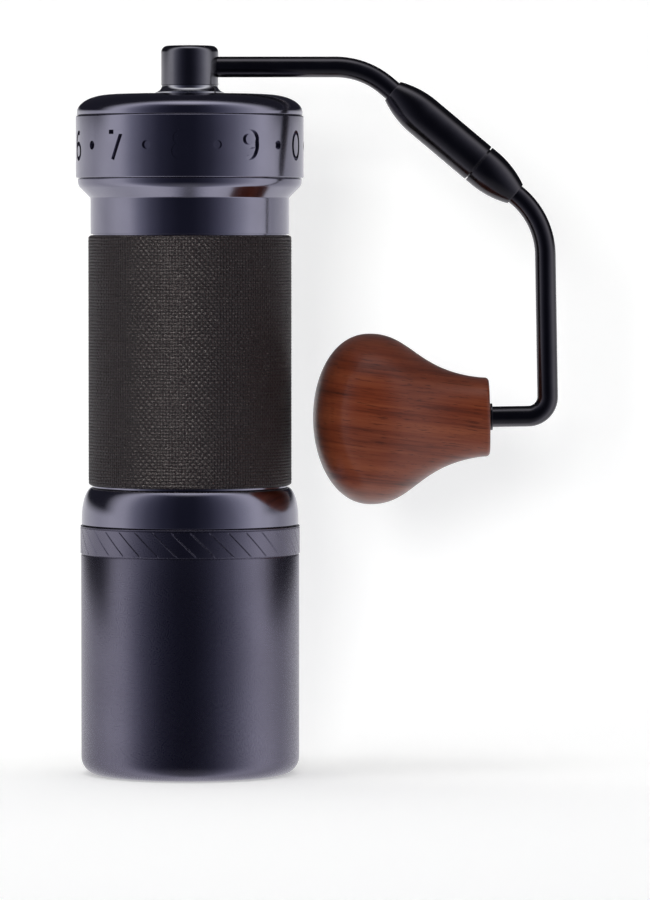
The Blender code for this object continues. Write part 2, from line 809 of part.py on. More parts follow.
def build_lock_ring(parent):
    """The threaded ring that holds the outer burr up, and centres the cup."""
    low = BODY_Z - LOCK_RING_PILOT
    high = BURR_Z - GAP
    ring = turned(
        "burr_lock_ring",
        ring_outline(BURR_R - LOCK_RING_WALL, BURR_R, low, high),
        bare_aluminium(),
        parent,
    )
    notches = bmesh.new()
    for angle in around(SPANNER_NOTCHES, 45):
        block(
            notches,
            (BURR_R - LOCK_RING_WALL - MM, -SPANNER_WIDTH / 2, low - MM),
            (BURR_R - LOCK_RING_WALL / 2, SPANNER_WIDTH / 2, low + SPANNER_DEPTH),
            angle,
        )
    combine(ring, tool("spanner_notches", notches, parent), "DIFFERENCE")


def build_spider(parent):
    """The lower bearing's seat: a rim on the body's ledge, three arms and a hub."""
    hub_r = LOWER_BEARING_R + GAP + BEARING_WALL
    seat_r = LOWER_BEARING_R + GAP
    hub_top = LOWER_BEARING_Z + LOWER_BEARING_WIDTH + GAP
    spider = turned(
        "lower_spider",
        [
            (LOWER_BEARING_R - LIP, SPIDER_Z),
            (hub_r, SPIDER_Z),
            (hub_r, hub_top),
            (seat_r, hub_top),
            (seat_r, SPIDER_Z + LIP),
            (LOWER_BEARING_R - LIP, SPIDER_Z + LIP),
        ],
        bare_aluminium(),
        parent,
        MEDIUM_SIDES,
    )
    rim_r = BORE_R - GAP
    rim = spun(
        ring_outline(rim_r - SPIDER_RIM_WIDTH, rim_r, SPIDER_Z, SPIDER_Z + SPIDER_RIM_HEIGHT),
        BIG_SIDES,
    )
    combine(spider, tool("spider_rim", rim, parent), "UNION")
    arm_z = SPIDER_Z + SPIDER_ARM_LIFT
    arms = bmesh.new()
    for angle in around(KEY_COUNT, 90):
        block(
            arms,
            (hub_r - BEARING_WALL / 2, -ARM_WIDTH / 2, arm_z),
            (rim_r - SPIDER_RIM_WIDTH / 2, ARM_WIDTH / 2, arm_z + SPIDER_ARM_HEIGHT),
            angle,
        )
    combine(spider, tool("spider_arms", arms, parent), "UNION")


def build_click_ring(parent):
    """The notched ring that the dial's balls click over."""
    top = BODY_Z + BODY_HEIGHT - SEAT
    low = top - CLICK_RING_HEIGHT
    inner = CLICK_CIRCLE - CLICK_RING_WIDTH / 2

    def section(index):
        crest = top - NOTCH_DEPTH * (index % 2)
        return [(inner, low), (CLICK_RING_R, low), (CLICK_RING_R, crest), (inner, crest)]

    add_object("click_ring", toothed(section, 2 * CLICKS), spring_steel(), parent)


def build_dial(parent):
    """The grind dial with its two sprung click balls."""
    top = DIAL_Z + DIAL_HEIGHT
    groove_low = DIAL_Z + RETAINER_LIFT - 2 * SEAT
    groove_high = groove_low + RETAINER_HEIGHT + 2 * SEAT
    groove_r = DIAL_BORE_R + NECK_WALL / 2
    outline = [
        (DIAL_BORE_R, DIAL_Z),
        (DIAL_R - EDGE, DIAL_Z),
        (DIAL_R, DIAL_Z + EDGE),
        (DIAL_R, top - EDGE),
        (DIAL_R - EDGE, top),
        (DIAL_BORE_R, top),
        (DIAL_BORE_R, groove_high),
        (groove_r, groove_high),
        (groove_r, groove_low),
        (DIAL_BORE_R, groove_low),
    ]
    dial = turned("dial_ring", outline, anodised(), parent)
    pocket_r = CLICK_BALL_R + SEAT
    ball_z = DIAL_Z - GAP + CLICK_BALL_LIFT + CLICK_BALL_R
    pocket_top = DIAL_Z + CLICK_POCKET_DEPTH
    pockets = bmesh.new()
    for letter, angle in zip("ab", around(2, 20)):
        place = on_circle(CLICK_CIRCLE, angle)
        prism(pockets, SMALL_SIDES, pocket_r, DIAL_Z - MM, pocket_top, place)
        ball = bmesh.new()
        bmesh.ops.create_icosphere(
            ball,
            subdivisions=2,
            radius=CLICK_BALL_R,
            matrix=Matrix.Translation((*place, ball_z)),
        )
        add_object("click_ball_" + letter, ball, polished_steel(), parent)
        spring = coil(
            CLICK_SPRING_R,
            CLICK_WIRE_R,
            ball_z + CLICK_BALL_R + SEAT,
            pocket_top - SEAT,
            3,
            sides=4,
            steps=8,
            centre=place,
        )
        add_object("click_spring_" + letter, spring, spring_steel(), parent)
    combine(dial, tool("click_pockets", pockets, parent), "DIFFERENCE")


def build_bearing_carrier(parent):
    """The keyed nut that the dial's thread lifts, with the upper bearing inside it."""
    seat_r = UPPER_BEARING_R + GAP
    hub_r = seat_r + BEARING_WALL
    groove_r = seat_r + CLIP_GROOVE
    groove_low = CLIP_Z - SEAT
    groove_high = CLIP_Z + CLIP_THICKNESS + SEAT
    hub_top = groove_high + CLIP_SHELF
    hub_low = UPPER_BEARING_Z - GAP - LIP
    carrier = turned(
        "bearing_carrier",
        [
            (UPPER_BEARING_R - LIP, hub_low),
            (hub_r, hub_low),
            (hub_r, hub_top),
            (seat_r, hub_top),
            (seat_r, groove_high),
            (groove_r, groove_high),
            (groove_r, groove_low),
            (seat_r, groove_low),
            (seat_r, hub_low + LIP),
            (UPPER_BEARING_R - LIP, hub_low + LIP),
        ],
        bare_aluminium(),
        parent,
        MEDIUM_SIDES,
    )
    thread_bore_r = THREAD_R - THREAD_WALL
    thread_top = THREAD_Z + THREAD_HEIGHT
    rim = spun(ring_outline(thread_bore_r, THREAD_R, THREAD_Z, thread_top), BIG_SIDES)
    combine(carrier, tool("carrier_thread", rim, parent), "UNION")
    arms = bmesh.new()
    for angle in around(KEY_COUNT, 90):
        block(
            arms,
            (hub_r - BEARING_WALL / 2, -ARM_WIDTH / 2, THREAD_Z + ARM_INSET),
            (thread_bore_r + THREAD_WALL / 2, ARM_WIDTH / 2, thread_top - ARM_INSET),
            angle,
        )
    combine(carrier, tool("carrier_arms", arms, parent), "UNION")
    keys = bmesh.new()
    for angle in around(KEY_COUNT, 90):
        block(
            keys,
            (BORE_R + GAP, -KEY_WIDTH / 2, THREAD_Z - KEY_DEPTH),
            (NECK_R - GAP, KEY_WIDTH / 2, THREAD_Z + KEY_ROOT),
            angle,
        )
    combine(carrier, tool("carrier_keys", keys, parent), "UNION")
    split_ring(
        "bearing_clip",
        UPPER_BEARING_R - BEARING_CLIP_REACH,
        groove_r - SEAT,
        CLIP_Z,
        CLIP_THICKNESS,
        BEARING_CLIP_OPENING,
        parent,
    )


def build_drive_shaft(parent):
    """The shaft with its inner burr, washer, nut and clip."""
    washer_low = INNER_BURR_Z - GAP - WASHER_THICKNESS
    nut_low = washer_low - GAP - NUT_HEIGHT
    foot = nut_low - SHAFT_FOOT
    shoulder_low = LOWER_BEARING_Z + LOWER_BEARING_WIDTH + CARRIER_DROP + SHOULDER_ROOM
    shoulder_high = UPPER_BEARING_Z - GAP
    groove_r = SHAFT_R - SHAFT_GROOVE
    groove_low = CLIP_Z - SEAT
    groove_high = CLIP_Z + CLIP_THICKNESS + SEAT
    top = groove_high + SHAFT_CROWN
    shaft = turned(
        "drive_shaft",
        [
            (0, foot),
            (SHAFT_R - EDGE, foot),
            (SHAFT_R, foot + EDGE),
            (SHAFT_R, shoulder_low),
            (SHAFT_SHOULDER_R, shoulder_low),
            (SHAFT_SHOULDER_R, shoulder_high),
            (SHAFT_R, shoulder_high),
            (SHAFT_R, groove_low),
            (groove_r, groove_low),
            (groove_r, groove_high),
            (SHAFT_R, groove_high),
            (SHAFT_R, top),
            (0, top),
        ],
        spring_steel(),
        parent,
        MEDIUM_SIDES,
    )
    hexagon = bmesh.new()
    prism(hexagon, 6, hexagon_radius(HEX_FLATS), groove_high, HEX_TOP_Z)
    combine(shaft, tool("shaft_hexagon", hexagon, parent), "UNION")
    build_inner_burr(parent)
    turned(
        "burr_washer",
        ring_outline(SOCKET_R, WASHER_R, washer_low, washer_low + WASHER_THICKNESS),
        polished_steel(),
        parent,
        MEDIUM_SIDES,
    )
    body = bmesh.new()
    prism(body, 6, hexagon_radius(2 * (SHAFT_R + NUT_WALL)), nut_low, nut_low + NUT_HEIGHT)
    nut = add_object("burr_nut", body, polished_steel(), parent)
    bore = bmesh.new()
    prism(bore, MEDIUM_SIDES, SOCKET_R, nut_low - MM, nut_low + NUT_HEIGHT + MM)
    combine(nut, tool("nut_bore", bore, parent), "DIFFERENCE")
    split_ring(
        "shaft_clip",
        groove_r + SEAT,
        SHAFT_R + SHAFT_CLIP_REACH,
        CLIP_Z,
        CLIP_THICKNESS,
        SHAFT_CLIP_OPENING,
        parent,
    )


def build_inner_burr(parent):
    """The turning cone: it follows the outer burr's bore a cutting gap inside it."""
    fall = BURR_MOUTH_R - BURR_THROAT_R - THROAT_STEP
    slope = fall / (THROAT_SHARE * BURR_HEIGHT)
    knee_z = BURR_Z + KNEE_SHARE * BURR_HEIGHT
    foot_r = BURR_MOUTH_R - BURR_GAP - slope * INNER_BURR_LIFT
    knee_r = BURR_MOUTH_R - BURR_GAP - slope * (knee_z - BURR_Z)
    top = INNER_BURR_Z + INNER_BURR_HEIGHT

    def section(index):
        tooth = TOOTH_DEPTH * (index % 2)
        return [
            (SOCKET_R, INNER_BURR_Z),
            (foot_r - tooth, INNER_BURR_Z),
            (knee_r - tooth, knee_z),
            (INNER_BURR_TOP_R - tooth, top),
            (SOCKET_R, top),
        ]

    add_object("inner_burr", toothed(section, 2 * BURR_TEETH), burr_steel(), parent)


def build_lid(parent):
    """The domed lid with its centre bush and its seal."""
    top = LID_Z + LID_HEIGHT
    rim_z = LID_Z + LID_RIM
    ceiling = top - LID_WALL
    spigot_low = LID_Z - SPIGOT_DEPTH
    seal_low = LID_Z - SPIGOT_DEPTH / 2 - SEAL_HEIGHT / 2 - SEAT
    seal_high = seal_low + SEAL_HEIGHT + 2 * SEAT
    groove_r = SPIGOT_R - SEAL_GROOVE
    hole_r = BUSH_R + GAP
    outline = [(LID_R - EDGE, LID_Z), (LID_R, LID_Z + EDGE)]
    outline += arc((LID_R - LID_SHOULDER, rim_z), (LID_SHOULDER, top - rim_z), 0, 90, 7)
    outline += [
        (hole_r, top),
        (hole_r, ceiling),
        (SPIGOT_R - SPIGOT_WALL, ceiling),
        (SPIGOT_R - SPIGOT_WALL, spigot_low),
        (SPIGOT_R, spigot_low),
        (SPIGOT_R, seal_low),
        (groove_r, seal_low),
        (groove_r, seal_high),
        (SPIGOT_R, seal_high),
        (SPIGOT_R, LID_Z),
    ]
    turned("lid_shell", outline, anodised(), parent)
    flange_top = BUSH_FLANGE_Z + BUSH_FLANGE_HEIGHT
    turned(
        "lid_bush",
        [
            (STEM_HOLE_R, BUSH_FLANGE_Z),
            (BUSH_R + BUSH_FLANGE, BUSH_FLANGE_Z),
            (BUSH_R + BUSH_FLANGE, flange_top),
            (BUSH_R, flange_top),
            (BUSH_R, top),
            (STEM_HOLE_R, top),
        ],
        bronze(),
        parent,
        MEDIUM_SIDES,
    )
    turned(
        "lid_seal",
        ring_outline(groove_r + SEAT, SPIGOT_R + SEAT, seal_low + SEAT, seal_high - SEAT),
        seal_rubber(),
        parent,
    )


def build_crank(parent):
    """The hub, its flared washer and clip, the upper arm and the fixed half of the sleeve."""
    top = HUB_Z + HUB_HEIGHT
    stem_low = HUB_Z - STEM_DEPTH
    groove_r = STEM_R - STEM_GROOVE
    groove_high = STEM_CLIP_Z + CLIP_THICKNESS + SEAT
    outline = [
        (0, stem_low),
        (STEM_R, stem_low),
        (STEM_R, STEM_CLIP_Z - SEAT),
        (groove_r, STEM_CLIP_Z - SEAT),
        (groove_r, groove_high),
        (STEM_R, groove_high),
        (STEM_R, HUB_Z),
        (HUB_R, HUB_Z),
    ]
    outline += arc((HUB_R - HUB_FILLET, top - HUB_FILLET), (HUB_FILLET, HUB_FILLET), 0, 90, 3)
    outline += [(0, top)]
    hub = turned("crank_hub", outline, hub_steel(), parent, MEDIUM_SIDES)
    hollows = bmesh.new()
    socket_r = hexagon_radius(HEX_FLATS + 2 * GAP)
    prism(hollows, 6, socket_r, stem_low - MM, stem_low + SOCKET_DEPTH)
    combine(hub, tool("hex_socket", hollows, parent), "DIFFERENCE")
    hole = bent_rod(
        route((ARM_START - GAP, ARM_Z), 0.0, [(HUB_R + MM, 0.0, 0.0)]), ROD_HOLE_R, ROD_SIDES
    )
    combine(hub, tool("arm_hole", hole, parent), "DIFFERENCE")
    curve_r = SKIRT_R + SKIRT_CURVE
    flare = arc(
        (curve_r, SKIRT_Z + SKIRT_HEIGHT),
        (curve_r - SKIRT_TOP_R, SKIRT_HEIGHT - SKIRT_LIP),
        -108,
        -180,
        3,
    )
    turned(
        "hub_washer",
        [(STEM_HOLE_R, SKIRT_Z), (SKIRT_R, SKIRT_Z), *flare, (STEM_HOLE_R, SKIRT_Z + SKIRT_HEIGHT)],
        polished_steel(),
        parent,
        MEDIUM_SIDES,
    )
    split_ring(
        "hub_clip",
        groove_r + SEAT,
        STEM_R + HUB_CLIP_REACH,
        STEM_CLIP_Z,
        CLIP_THICKNESS,
        HUB_CLIP_OPENING,
        parent,
    )
    legs = [(ARM_STRAIGHT, SLEEVE_SLOPE, ARM_BEND_R), (SLEEVE_STAND_OFF + ROD_SOCKET, 0.0, 0.0)]
    rod = bent_rod(route((ARM_START, ARM_Z), 0.0, legs), ROD_R, ROD_SIDES)
    add_object("upper_arm", rod, black_coat(), parent)


def sleeve_half(length, flip):
    """Half section of a sleeve half along its own axis: a full end and a domed taper to a tip.

    The taper is an arc that is tangent to the full diameter. Flip puts the tip at zero.
    """
    fall = SLEEVE_R - SLEEVE_TIP_R
    bow = (SLEEVE_TAPER**2 + fall**2) / (2 * fall)
    start = length - SLEEVE_TAPER
    span = math.degrees(math.asin(SLEEVE_TAPER / bow))
    points = [(0, 0), (SLEEVE_R - EDGE, 0), (SLEEVE_R, EDGE)]
    for index in range(6):
        angle = math.radians(span * index / 5)
        points.append((SLEEVE_R - bow * (1 - math.cos(angle)), start + bow * math.sin(angle)))
    points.append((0, length))
    if flip:
        points = [(radius, length - along) for radius, along in reversed(points)]
    return points


def build_sleeve_upper(parent):
    """The sleeve half on the upper arm, with the fold pin's bush and spring in it.

    Its frame has its origin at the sleeve's upper tip and Z down along the sleeve.
    """
    sleeve = turned(
        "sleeve_upper", sleeve_half(SLEEVE_UPPER, True), black_coat(), parent, MEDIUM_SIDES
    )
    hollows = bmesh.new()
    bore_low = SLEEVE_UPPER - SLEEVE_BORE_DEPTH
    prism(hollows, ROD_SIDES, ROD_HOLE_R, -MM, ROD_SOCKET + GAP)
    prism(hollows, SMALL_SIDES, SLEEVE_BORE_R, bore_low, SLEEVE_UPPER + MM)
    combine(sleeve, tool("sleeve_upper_bores", hollows, parent), "DIFFERENCE")
    bush_low = SLEEVE_UPPER - FOLD_BUSH_LENGTH
    turned(
        "fold_bush",
        ring_outline(PIN_HOLE_R, SLEEVE_BORE_R - SEAT, bush_low, SLEEVE_UPPER),
        bronze(),
        parent,
        SMALL_SIDES,
    )
    head_top = bore_low + GAP + PIN_HEAD
    mean_r = PIN_R + GAP + FOLD_WIRE_R
    spring = coil(mean_r, FOLD_WIRE_R, head_top + GAP, bush_low - GAP, SPRING_TURNS)
    add_object("fold_spring", spring, spring_steel(), parent)


def build_folding_arm(parent):
    """The turning half of the sleeve with its pin, the lower arm and the knob's washer and clip.

    The frame has its origin at the sleeve's upper tip and Z down along the sleeve.
    """
    low = SLEEVE_UPPER + GAP
    outline = [(radius, low + along) for radius, along in sleeve_half(SLEEVE_LOWER, False)]
    sleeve = turned("sleeve_lower", outline, black_coat(), parent, MEDIUM_SIDES)
    end = low + SLEEVE_LOWER
    hollows = bmesh.new()
    prism(hollows, SMALL_SIDES, PIN_HOLE_R, low - MM, low + PIN_ANCHOR + SEAT)
    prism(hollows, ROD_SIDES, ROD_HOLE_R, end - LOWER_ROD_SOCKET - GAP, end + MM)
    combine(sleeve, tool("sleeve_lower_bores", hollows, parent), "DIFFERENCE")
    head_low = SLEEVE_UPPER - SLEEVE_BORE_DEPTH + GAP
    turned(
        "fold_pin",
        [
            (0, head_low),
            (PIN_HEAD_R, head_low),
            (PIN_HEAD_R, head_low + PIN_HEAD),
            (PIN_R, head_low + PIN_HEAD),
            (PIN_R, low + PIN_ANCHOR),
            (0, low + PIN_ANCHOR),
        ],
        spring_steel(),
        parent,
        SMALL_SIDES,
    )


def sleeve_start():
    """(x, z) of the sleeve's upper tip, at the end of the upper arm."""
    legs = [(ARM_STRAIGHT, SLEEVE_SLOPE, ARM_BEND_R), (SLEEVE_STAND_OFF, 0.0, 0.0)]
    x, z, _ = route((ARM_START, ARM_Z), 0.0, legs)[-1]
    return x, z


def lower_arm_legs(first, last):
    """Legs of the lower arm, from a length before its first bend to one after its corner."""
    return [
        (first, DROP_SLOPE - SLEEVE_SLOPE, ARM_BEND_R),
        (DROP_STRAIGHT, 90.0, CORNER_R),
        (last, 0.0, 0.0),
    ]


def sleeve_point(along):
    """(x, z) of a point on the sleeve's axis."""
    x, z = sleeve_start()
    slope = math.radians(SLEEVE_SLOPE)
    return x + along * math.cos(slope), z - along * math.sin(slope)


def knob_face():
    """(x, z, heading) of the centre of the knob's face."""
    sleeve_end = SLEEVE_UPPER + GAP + SLEEVE_LOWER
    legs = lower_arm_legs(LOWER_STAND_OFF, KNOB_STAND_OFF)
    return route(sleeve_point(sleeve_end), SLEEVE_SLOPE, legs)[-1]


def build_lower_arm(parent):
    """The bent rod from the sleeve to the inside of the knob."""
    sleeve_end = SLEEVE_UPPER + GAP + SLEEVE_LOWER
    start = sleeve_point(sleeve_end - LOWER_ROD_SOCKET)
    legs = lower_arm_legs(LOWER_STAND_OFF + LOWER_ROD_SOCKET, KNOB_STAND_OFF + ROD_IN_KNOB)
    rod = bent_rod(route(start, SLEEVE_SLOPE, legs), ROD_R, ROD_SIDES)
    add_object("lower_arm", rod, black_coat(), parent, in_world=True)


def knob_outline():
    """The knob's half section along its axis: a waisted neck, a swell and a round end."""
    neck = [
        Vector((KNOB_FACE_R, KNOB_FILLET)),
        Vector((KNOB_FACE_R + KNOB_NECK_FLARE, KNOB_NECK_SHARE * KNOB_SWELL)),
        Vector((KNOB_R, KNOB_SWELL_SHARE * KNOB_SWELL)),
        Vector((KNOB_R, KNOB_SWELL)),
    ]
    points = [(KNOB_FACE_R - KNOB_FACE_INSET, 0.0)]
    neck_steps = 9
    for step in range(neck_steps + 1):
        share = step / neck_steps
        left = 1 - share
        place = (
            neck[0] * left**3
            + neck[1] * 3 * share * left**2
            + neck[2] * 3 * share**2 * left
            + neck[3] * share**3
        )
        points.append((place.x, place.y))
    end = KNOB_LENGTH - KNOB_SWELL
    steps = 7
    for step in range(1, steps + 1):
        share = math.sin(math.pi / 2 * step / steps)
        radius = KNOB_R * math.sqrt(max(0.0, 1 - share**KNOB_ROUNDNESS))
        points.append((radius, KNOB_SWELL + end * share))
    return points


def build_knob(parent, arm_parent):
    """The wooden knob and its bush, with the washer and clip that keep it on the rod.

    Both frames have their origin at the knob's face and Z into the knob.
    """
    bush_r = ROD_R + GAP + KNOB_BUSH_WALL
    bore_r = bush_r + SEAT
    bush_high = KNOB_BUSH_INSET + KNOB_BUSH_LENGTH
    bore_depth = ROD_IN_KNOB + KNOB_BORE_ROOM
    knob = turned("knob", [(0, 0), *knob_outline()], wood(), parent, MEDIUM_SIDES)
    bore = bmesh.new()
    prism(bore, SMALL_SIDES, bore_r, -MM, bore_depth)
    combine(knob, tool("knob_bore", bore, parent), "DIFFERENCE")
    turned(
        "knob_bush",
        ring_outline(ROD_R + GAP, bush_r, KNOB_BUSH_INSET, bush_high),
        bronze(),
        parent,
        SMALL_SIDES,
    )
    turned(
        "knob_washer",
        ring_outline(ROD_R + SEAT, KNOB_WASHER_R, -GAP - KNOB_WASHER_THICKNESS, -GAP),
        black_coat(),
        arm_parent,
        MEDIUM_SIDES,
    )
    split_ring(
        "knob_clip",
        ROD_R + SEAT,
        bush_r - GAP,
        bush_high + GAP,
        CLIP_THICKNESS,
        KNOB_CLIP_OPENING,
        arm_parent,
    )


def main():
    """Clears the scene and builds the grinder."""
    for thing in list(bpy.data.objects):
        bpy.data.objects.remove(thing, do_unlink=True)

    up = (0, 0, 1)
    housing = joint_frame("housing_frame", (0, 0, 0), up)
    cup = joint_frame("cup_release_axis", (0, 0, 0), up, housing)
    dial = joint_frame("dial_turn_axis", (0, 0, 0), up, housing)
    carrier = joint_frame("burr_adjust_axis", (0, 0, 0), up, housing)
    shaft = joint_frame("shaft_spin_axis", (0, 0, 0), up, carrier)
    lid = joint_frame("lid_lift_axis", (0, 0, 0), up, housing)
    crank = joint_frame("crank_spin_axis", (0, 0, 0), up, lid)
    upper_cage = joint_frame("upper_cage_axis", (0, 0, 0), up, carrier)
    lower_cage = joint_frame("lower_cage_axis", (0, 0, 0), up, housing)
    lower_race = joint_frame("lower_race_axis", (0, 0, 0), up, housing)

    slope = math.radians(SLEEVE_SLOPE)
    fold_axis = (math.cos(slope), 0, -math.sin(slope))
    x, z = sleeve_start()
    sleeve = joint_frame("sleeve_frame", (x, 0, z), fold_axis, crank)
    fold = joint_frame("arm_fold_axis", (x, 0, z), fold_axis, crank)
    x, z, heading = knob_face()
    slope = math.radians(heading)
    knob_axis = (math.cos(slope), 0, -math.sin(slope))
    knob_mount = joint_frame("knob_mount_frame", (x, 0, z), knob_axis, fold)
    knob = joint_frame("knob_spin_axis", (x, 0, z), knob_axis, fold)

    build_catch_cup(cup)
    build_housing(housing)
    build_dial(dial)
    build_bearing_carrier(carrier)
    build_drive_shaft(shaft)
    bearing(
        "upper_bearing", carrier, upper_cage, shaft,
        UPPER_BEARING_R, UPPER_BEARING_Z, UPPER_BEARING_WIDTH,
    )
    bearing(
        "lower_bearing", housing, lower_cage, lower_race,
        LOWER_BEARING_R, LOWER_BEARING_Z, LOWER_BEARING_WIDTH,
    )
    build_lid(lid)
    build_crank(crank)
    build_sleeve_upper(sleeve)
    build_folding_arm(fold)
    build_lower_arm(fold)
    build_knob(knob, knob_mount)


main()
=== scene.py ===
"""Hand crank coffee grinder: its visible surfaces, finishes, studio and camera.

Lengths in this file are in millimetres, and the meshes that it makes are in metres. The
grinder stands on the origin with its axis along +Z and its crank folded down to +X.
"""

import json
import logging
import math
from dataclasses import dataclass
from enum import Enum
from functools import reduce
from typing import Any, Callable, Optional, Sequence

import bpy
import numpy as np
from mathutils import Matrix
from numpy.typing import NDArray

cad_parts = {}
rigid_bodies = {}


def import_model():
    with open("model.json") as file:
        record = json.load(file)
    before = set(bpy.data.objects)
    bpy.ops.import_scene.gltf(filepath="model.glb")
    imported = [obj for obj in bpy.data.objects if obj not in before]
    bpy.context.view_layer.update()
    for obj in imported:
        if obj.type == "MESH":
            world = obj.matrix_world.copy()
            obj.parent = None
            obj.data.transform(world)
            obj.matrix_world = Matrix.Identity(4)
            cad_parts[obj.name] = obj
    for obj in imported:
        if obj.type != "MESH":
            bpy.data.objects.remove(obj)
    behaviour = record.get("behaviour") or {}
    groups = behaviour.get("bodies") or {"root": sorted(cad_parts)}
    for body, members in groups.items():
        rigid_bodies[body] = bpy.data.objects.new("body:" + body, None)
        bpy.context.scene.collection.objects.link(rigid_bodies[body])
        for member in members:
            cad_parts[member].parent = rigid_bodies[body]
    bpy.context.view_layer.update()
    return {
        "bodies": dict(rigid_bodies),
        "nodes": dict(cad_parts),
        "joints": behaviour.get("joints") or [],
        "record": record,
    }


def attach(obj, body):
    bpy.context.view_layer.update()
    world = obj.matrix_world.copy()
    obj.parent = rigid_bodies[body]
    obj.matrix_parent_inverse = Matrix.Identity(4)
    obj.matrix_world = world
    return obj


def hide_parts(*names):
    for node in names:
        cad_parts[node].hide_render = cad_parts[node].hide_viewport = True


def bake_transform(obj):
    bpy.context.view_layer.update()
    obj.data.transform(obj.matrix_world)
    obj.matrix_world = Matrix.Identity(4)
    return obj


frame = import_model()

LOG = logging.getLogger("grinder")
MM = 0.001
TAU = 2 * math.pi
SEAT = 0.15  # between a small piece and the pocket that it is bonded into
GAP = 0.3  # between two pieces that run in each other
GRIP_LOW, GRIP_HIGH = 75.4, 140.7  # the grip sleeve's two edges
GRIP_THREADS = 208  # upright threads round the grip
GRIP_PITCH = (GRIP_HIGH - GRIP_LOW) / 81  # from one level thread of the grip to the next
HEXAGON = TAU / 6
BURR_TEETH = 24
TOOTH_DEPTH = 0.6
SHAFT_FIT = 4.15  # bore radius of whatever sits on the round part of the shaft
Array = NDArray[np.float64]
Vec3 = tuple[float, float, float]
Shape = Callable[[Array, Array, Array], tuple[Array, Array, Array]]


# ---------------------------------------------------------------- shape tools


@dataclass(frozen=True)
class Placement:
    """Where a turned piece stands: its origin, and the axis that it is turned about."""

    origin: Vec3 = (0.0, 0.0, 0.0)
    axis: Vec3 = (0.0, 0.0, 1.0)

    def put(self, points: Array) -> Array:
        """Carries points from the piece's own axes (third one along its axis) to the grinder's."""
        along = np.array(self.axis) / np.linalg.norm(self.axis)
        front = np.array([0.0, 1.0, 0.0])
        return points @ np.stack([np.cross(front, along), front, along]) + np.array(self.origin)

    def ahead(self, distance: float) -> "Placement":
        """The same axis, with the origin moved along it."""
        along = np.array(self.axis) / np.linalg.norm(self.axis)
        return Placement(tuple(np.array(self.origin) + distance * along), self.axis)


@dataclass
class Shell:
    """A closed surface: its points, and its faces as lists of point numbers."""

    points: Array
    faces: list[list[int]]

    def __add__(self, other: "Shell") -> "Shell":
        """Both surfaces as one mesh."""
        shift = len(self.points)
        moved = [[number + shift for number in face] for face in other.faces]
        return Shell(np.concatenate([self.points, other.points]), self.faces + moved)


def skin(points: Array, loop_rows: bool, loop_columns: bool) -> Shell:
    """Joins a grid of points, rows by columns, into a surface of four-sided faces.

    A row whose points all lie together is a pole and keeps one point, so its faces are
    triangles. The signed volume, a sixth of the sum of the corner triple products, is
    negative if the surface is inside out, and the faces are then turned round.

    Args:
        points: an array of shape (rows, columns, 3).
        loop_rows: whether the last row joins the first.
        loop_columns: whether the last column joins the first.

    Returns:
        The surface, facing outwards.
    """
    rows, columns = points.shape[:2]
    pole = np.ptp(points, axis=1).max(axis=1) < 1e-6
    counts = np.where(pole, 1, columns)
    starts = np.cumsum(counts) - counts
    column = np.arange(columns)[None, :]
    number = starts[:, None] + np.where(pole[:, None], 0, column)
    kept = points[~pole[:, None] | (column == 0)]
    near = number if loop_rows else number[:-1]
    far = np.roll(number, -1, axis=0) if loop_rows else number[1:]
    last = columns if loop_columns else columns - 1
    ahead = np.roll(np.arange(columns), -1)
    quads = np.stack(
        [near[:, :last], near[:, ahead][:, :last], far[:, ahead][:, :last], far[:, :last]], axis=-1
    ).reshape(-1, 4)
    low, high = quads[:, 0] == quads[:, 1], quads[:, 2] == quads[:, 3]
    whole = quads[~low & ~high]
    thirds = np.concatenate([quads[low & ~high][:, [0, 2, 3]], quads[high & ~low][:, :3]])
    corners = np.concatenate([whole[:, :3], whole[:, [0, 2, 3]], thirds])
    if np.linalg.det(kept[corners]).sum() < 0:
        whole, thirds = whole[:, ::-1], thirds[:, ::-1]
    return Shell(kept, whole.tolist() + thirds.tolist())


def section(outline: Sequence[Sequence[float]], closed: bool = True, step: float = 15.0) -> Array:
    """A half section with its corners rounded.

    Each corner is (radius, height) or (radius, height, fillet). A fillet becomes the arc that
    touches both sides: its centre lies on the corner's bisector, fillet / sin(half angle) away.

    Args:
        outline: the corners in order.
        closed: whether the last corner joins the first.
        step: the largest turn between two points of a fillet, in degrees.

    Returns:
        Points (radius, height).
    """
    count = len(outline)
    pieces = []
    for index, corner in enumerate(outline):
        here = np.array(corner[:2], float)
        fillet = corner[2] if len(corner) > 2 else 0.0
        if fillet <= 0 or (not closed and index in (0, count - 1)):
            pieces.append(here[None])
            continue
        back = np.array(outline[index - 1][:2], float) - here
        on = np.array(outline[(index + 1) % count][:2], float) - here
        back, on = back / np.linalg.norm(back), on / np.linalg.norm(on)
        half = 0.5 * math.acos(float(np.clip(back @ on, -1, 1)))
        centre = here + (back + on) / np.linalg.norm(back + on) * fillet / math.sin(half)
        first = here + back * fillet / math.tan(half) - centre
        last = here + on * fillet / math.tan(half) - centre
        turn = math.pi - 2 * half
        share = np.linspace(0, 1, max(2, math.ceil(math.degrees(turn) / step)) + 1)[:, None]
        arc = np.sin((1 - share) * turn) * first + np.sin(share * turn) * last
        pieces.append(centre + arc / math.sin(turn))
    return np.concatenate(pieces)


def ring(inner: float, outer: float, low: float, high: float, edge: float = 0.12) -> Array:
    """The half section of a plain ring with its four edges broken."""
    corners = ((inner, low), (outer, low), (outer, high), (inner, high))
    return section([(radius, height, edge) for radius, height in corners], step=45)


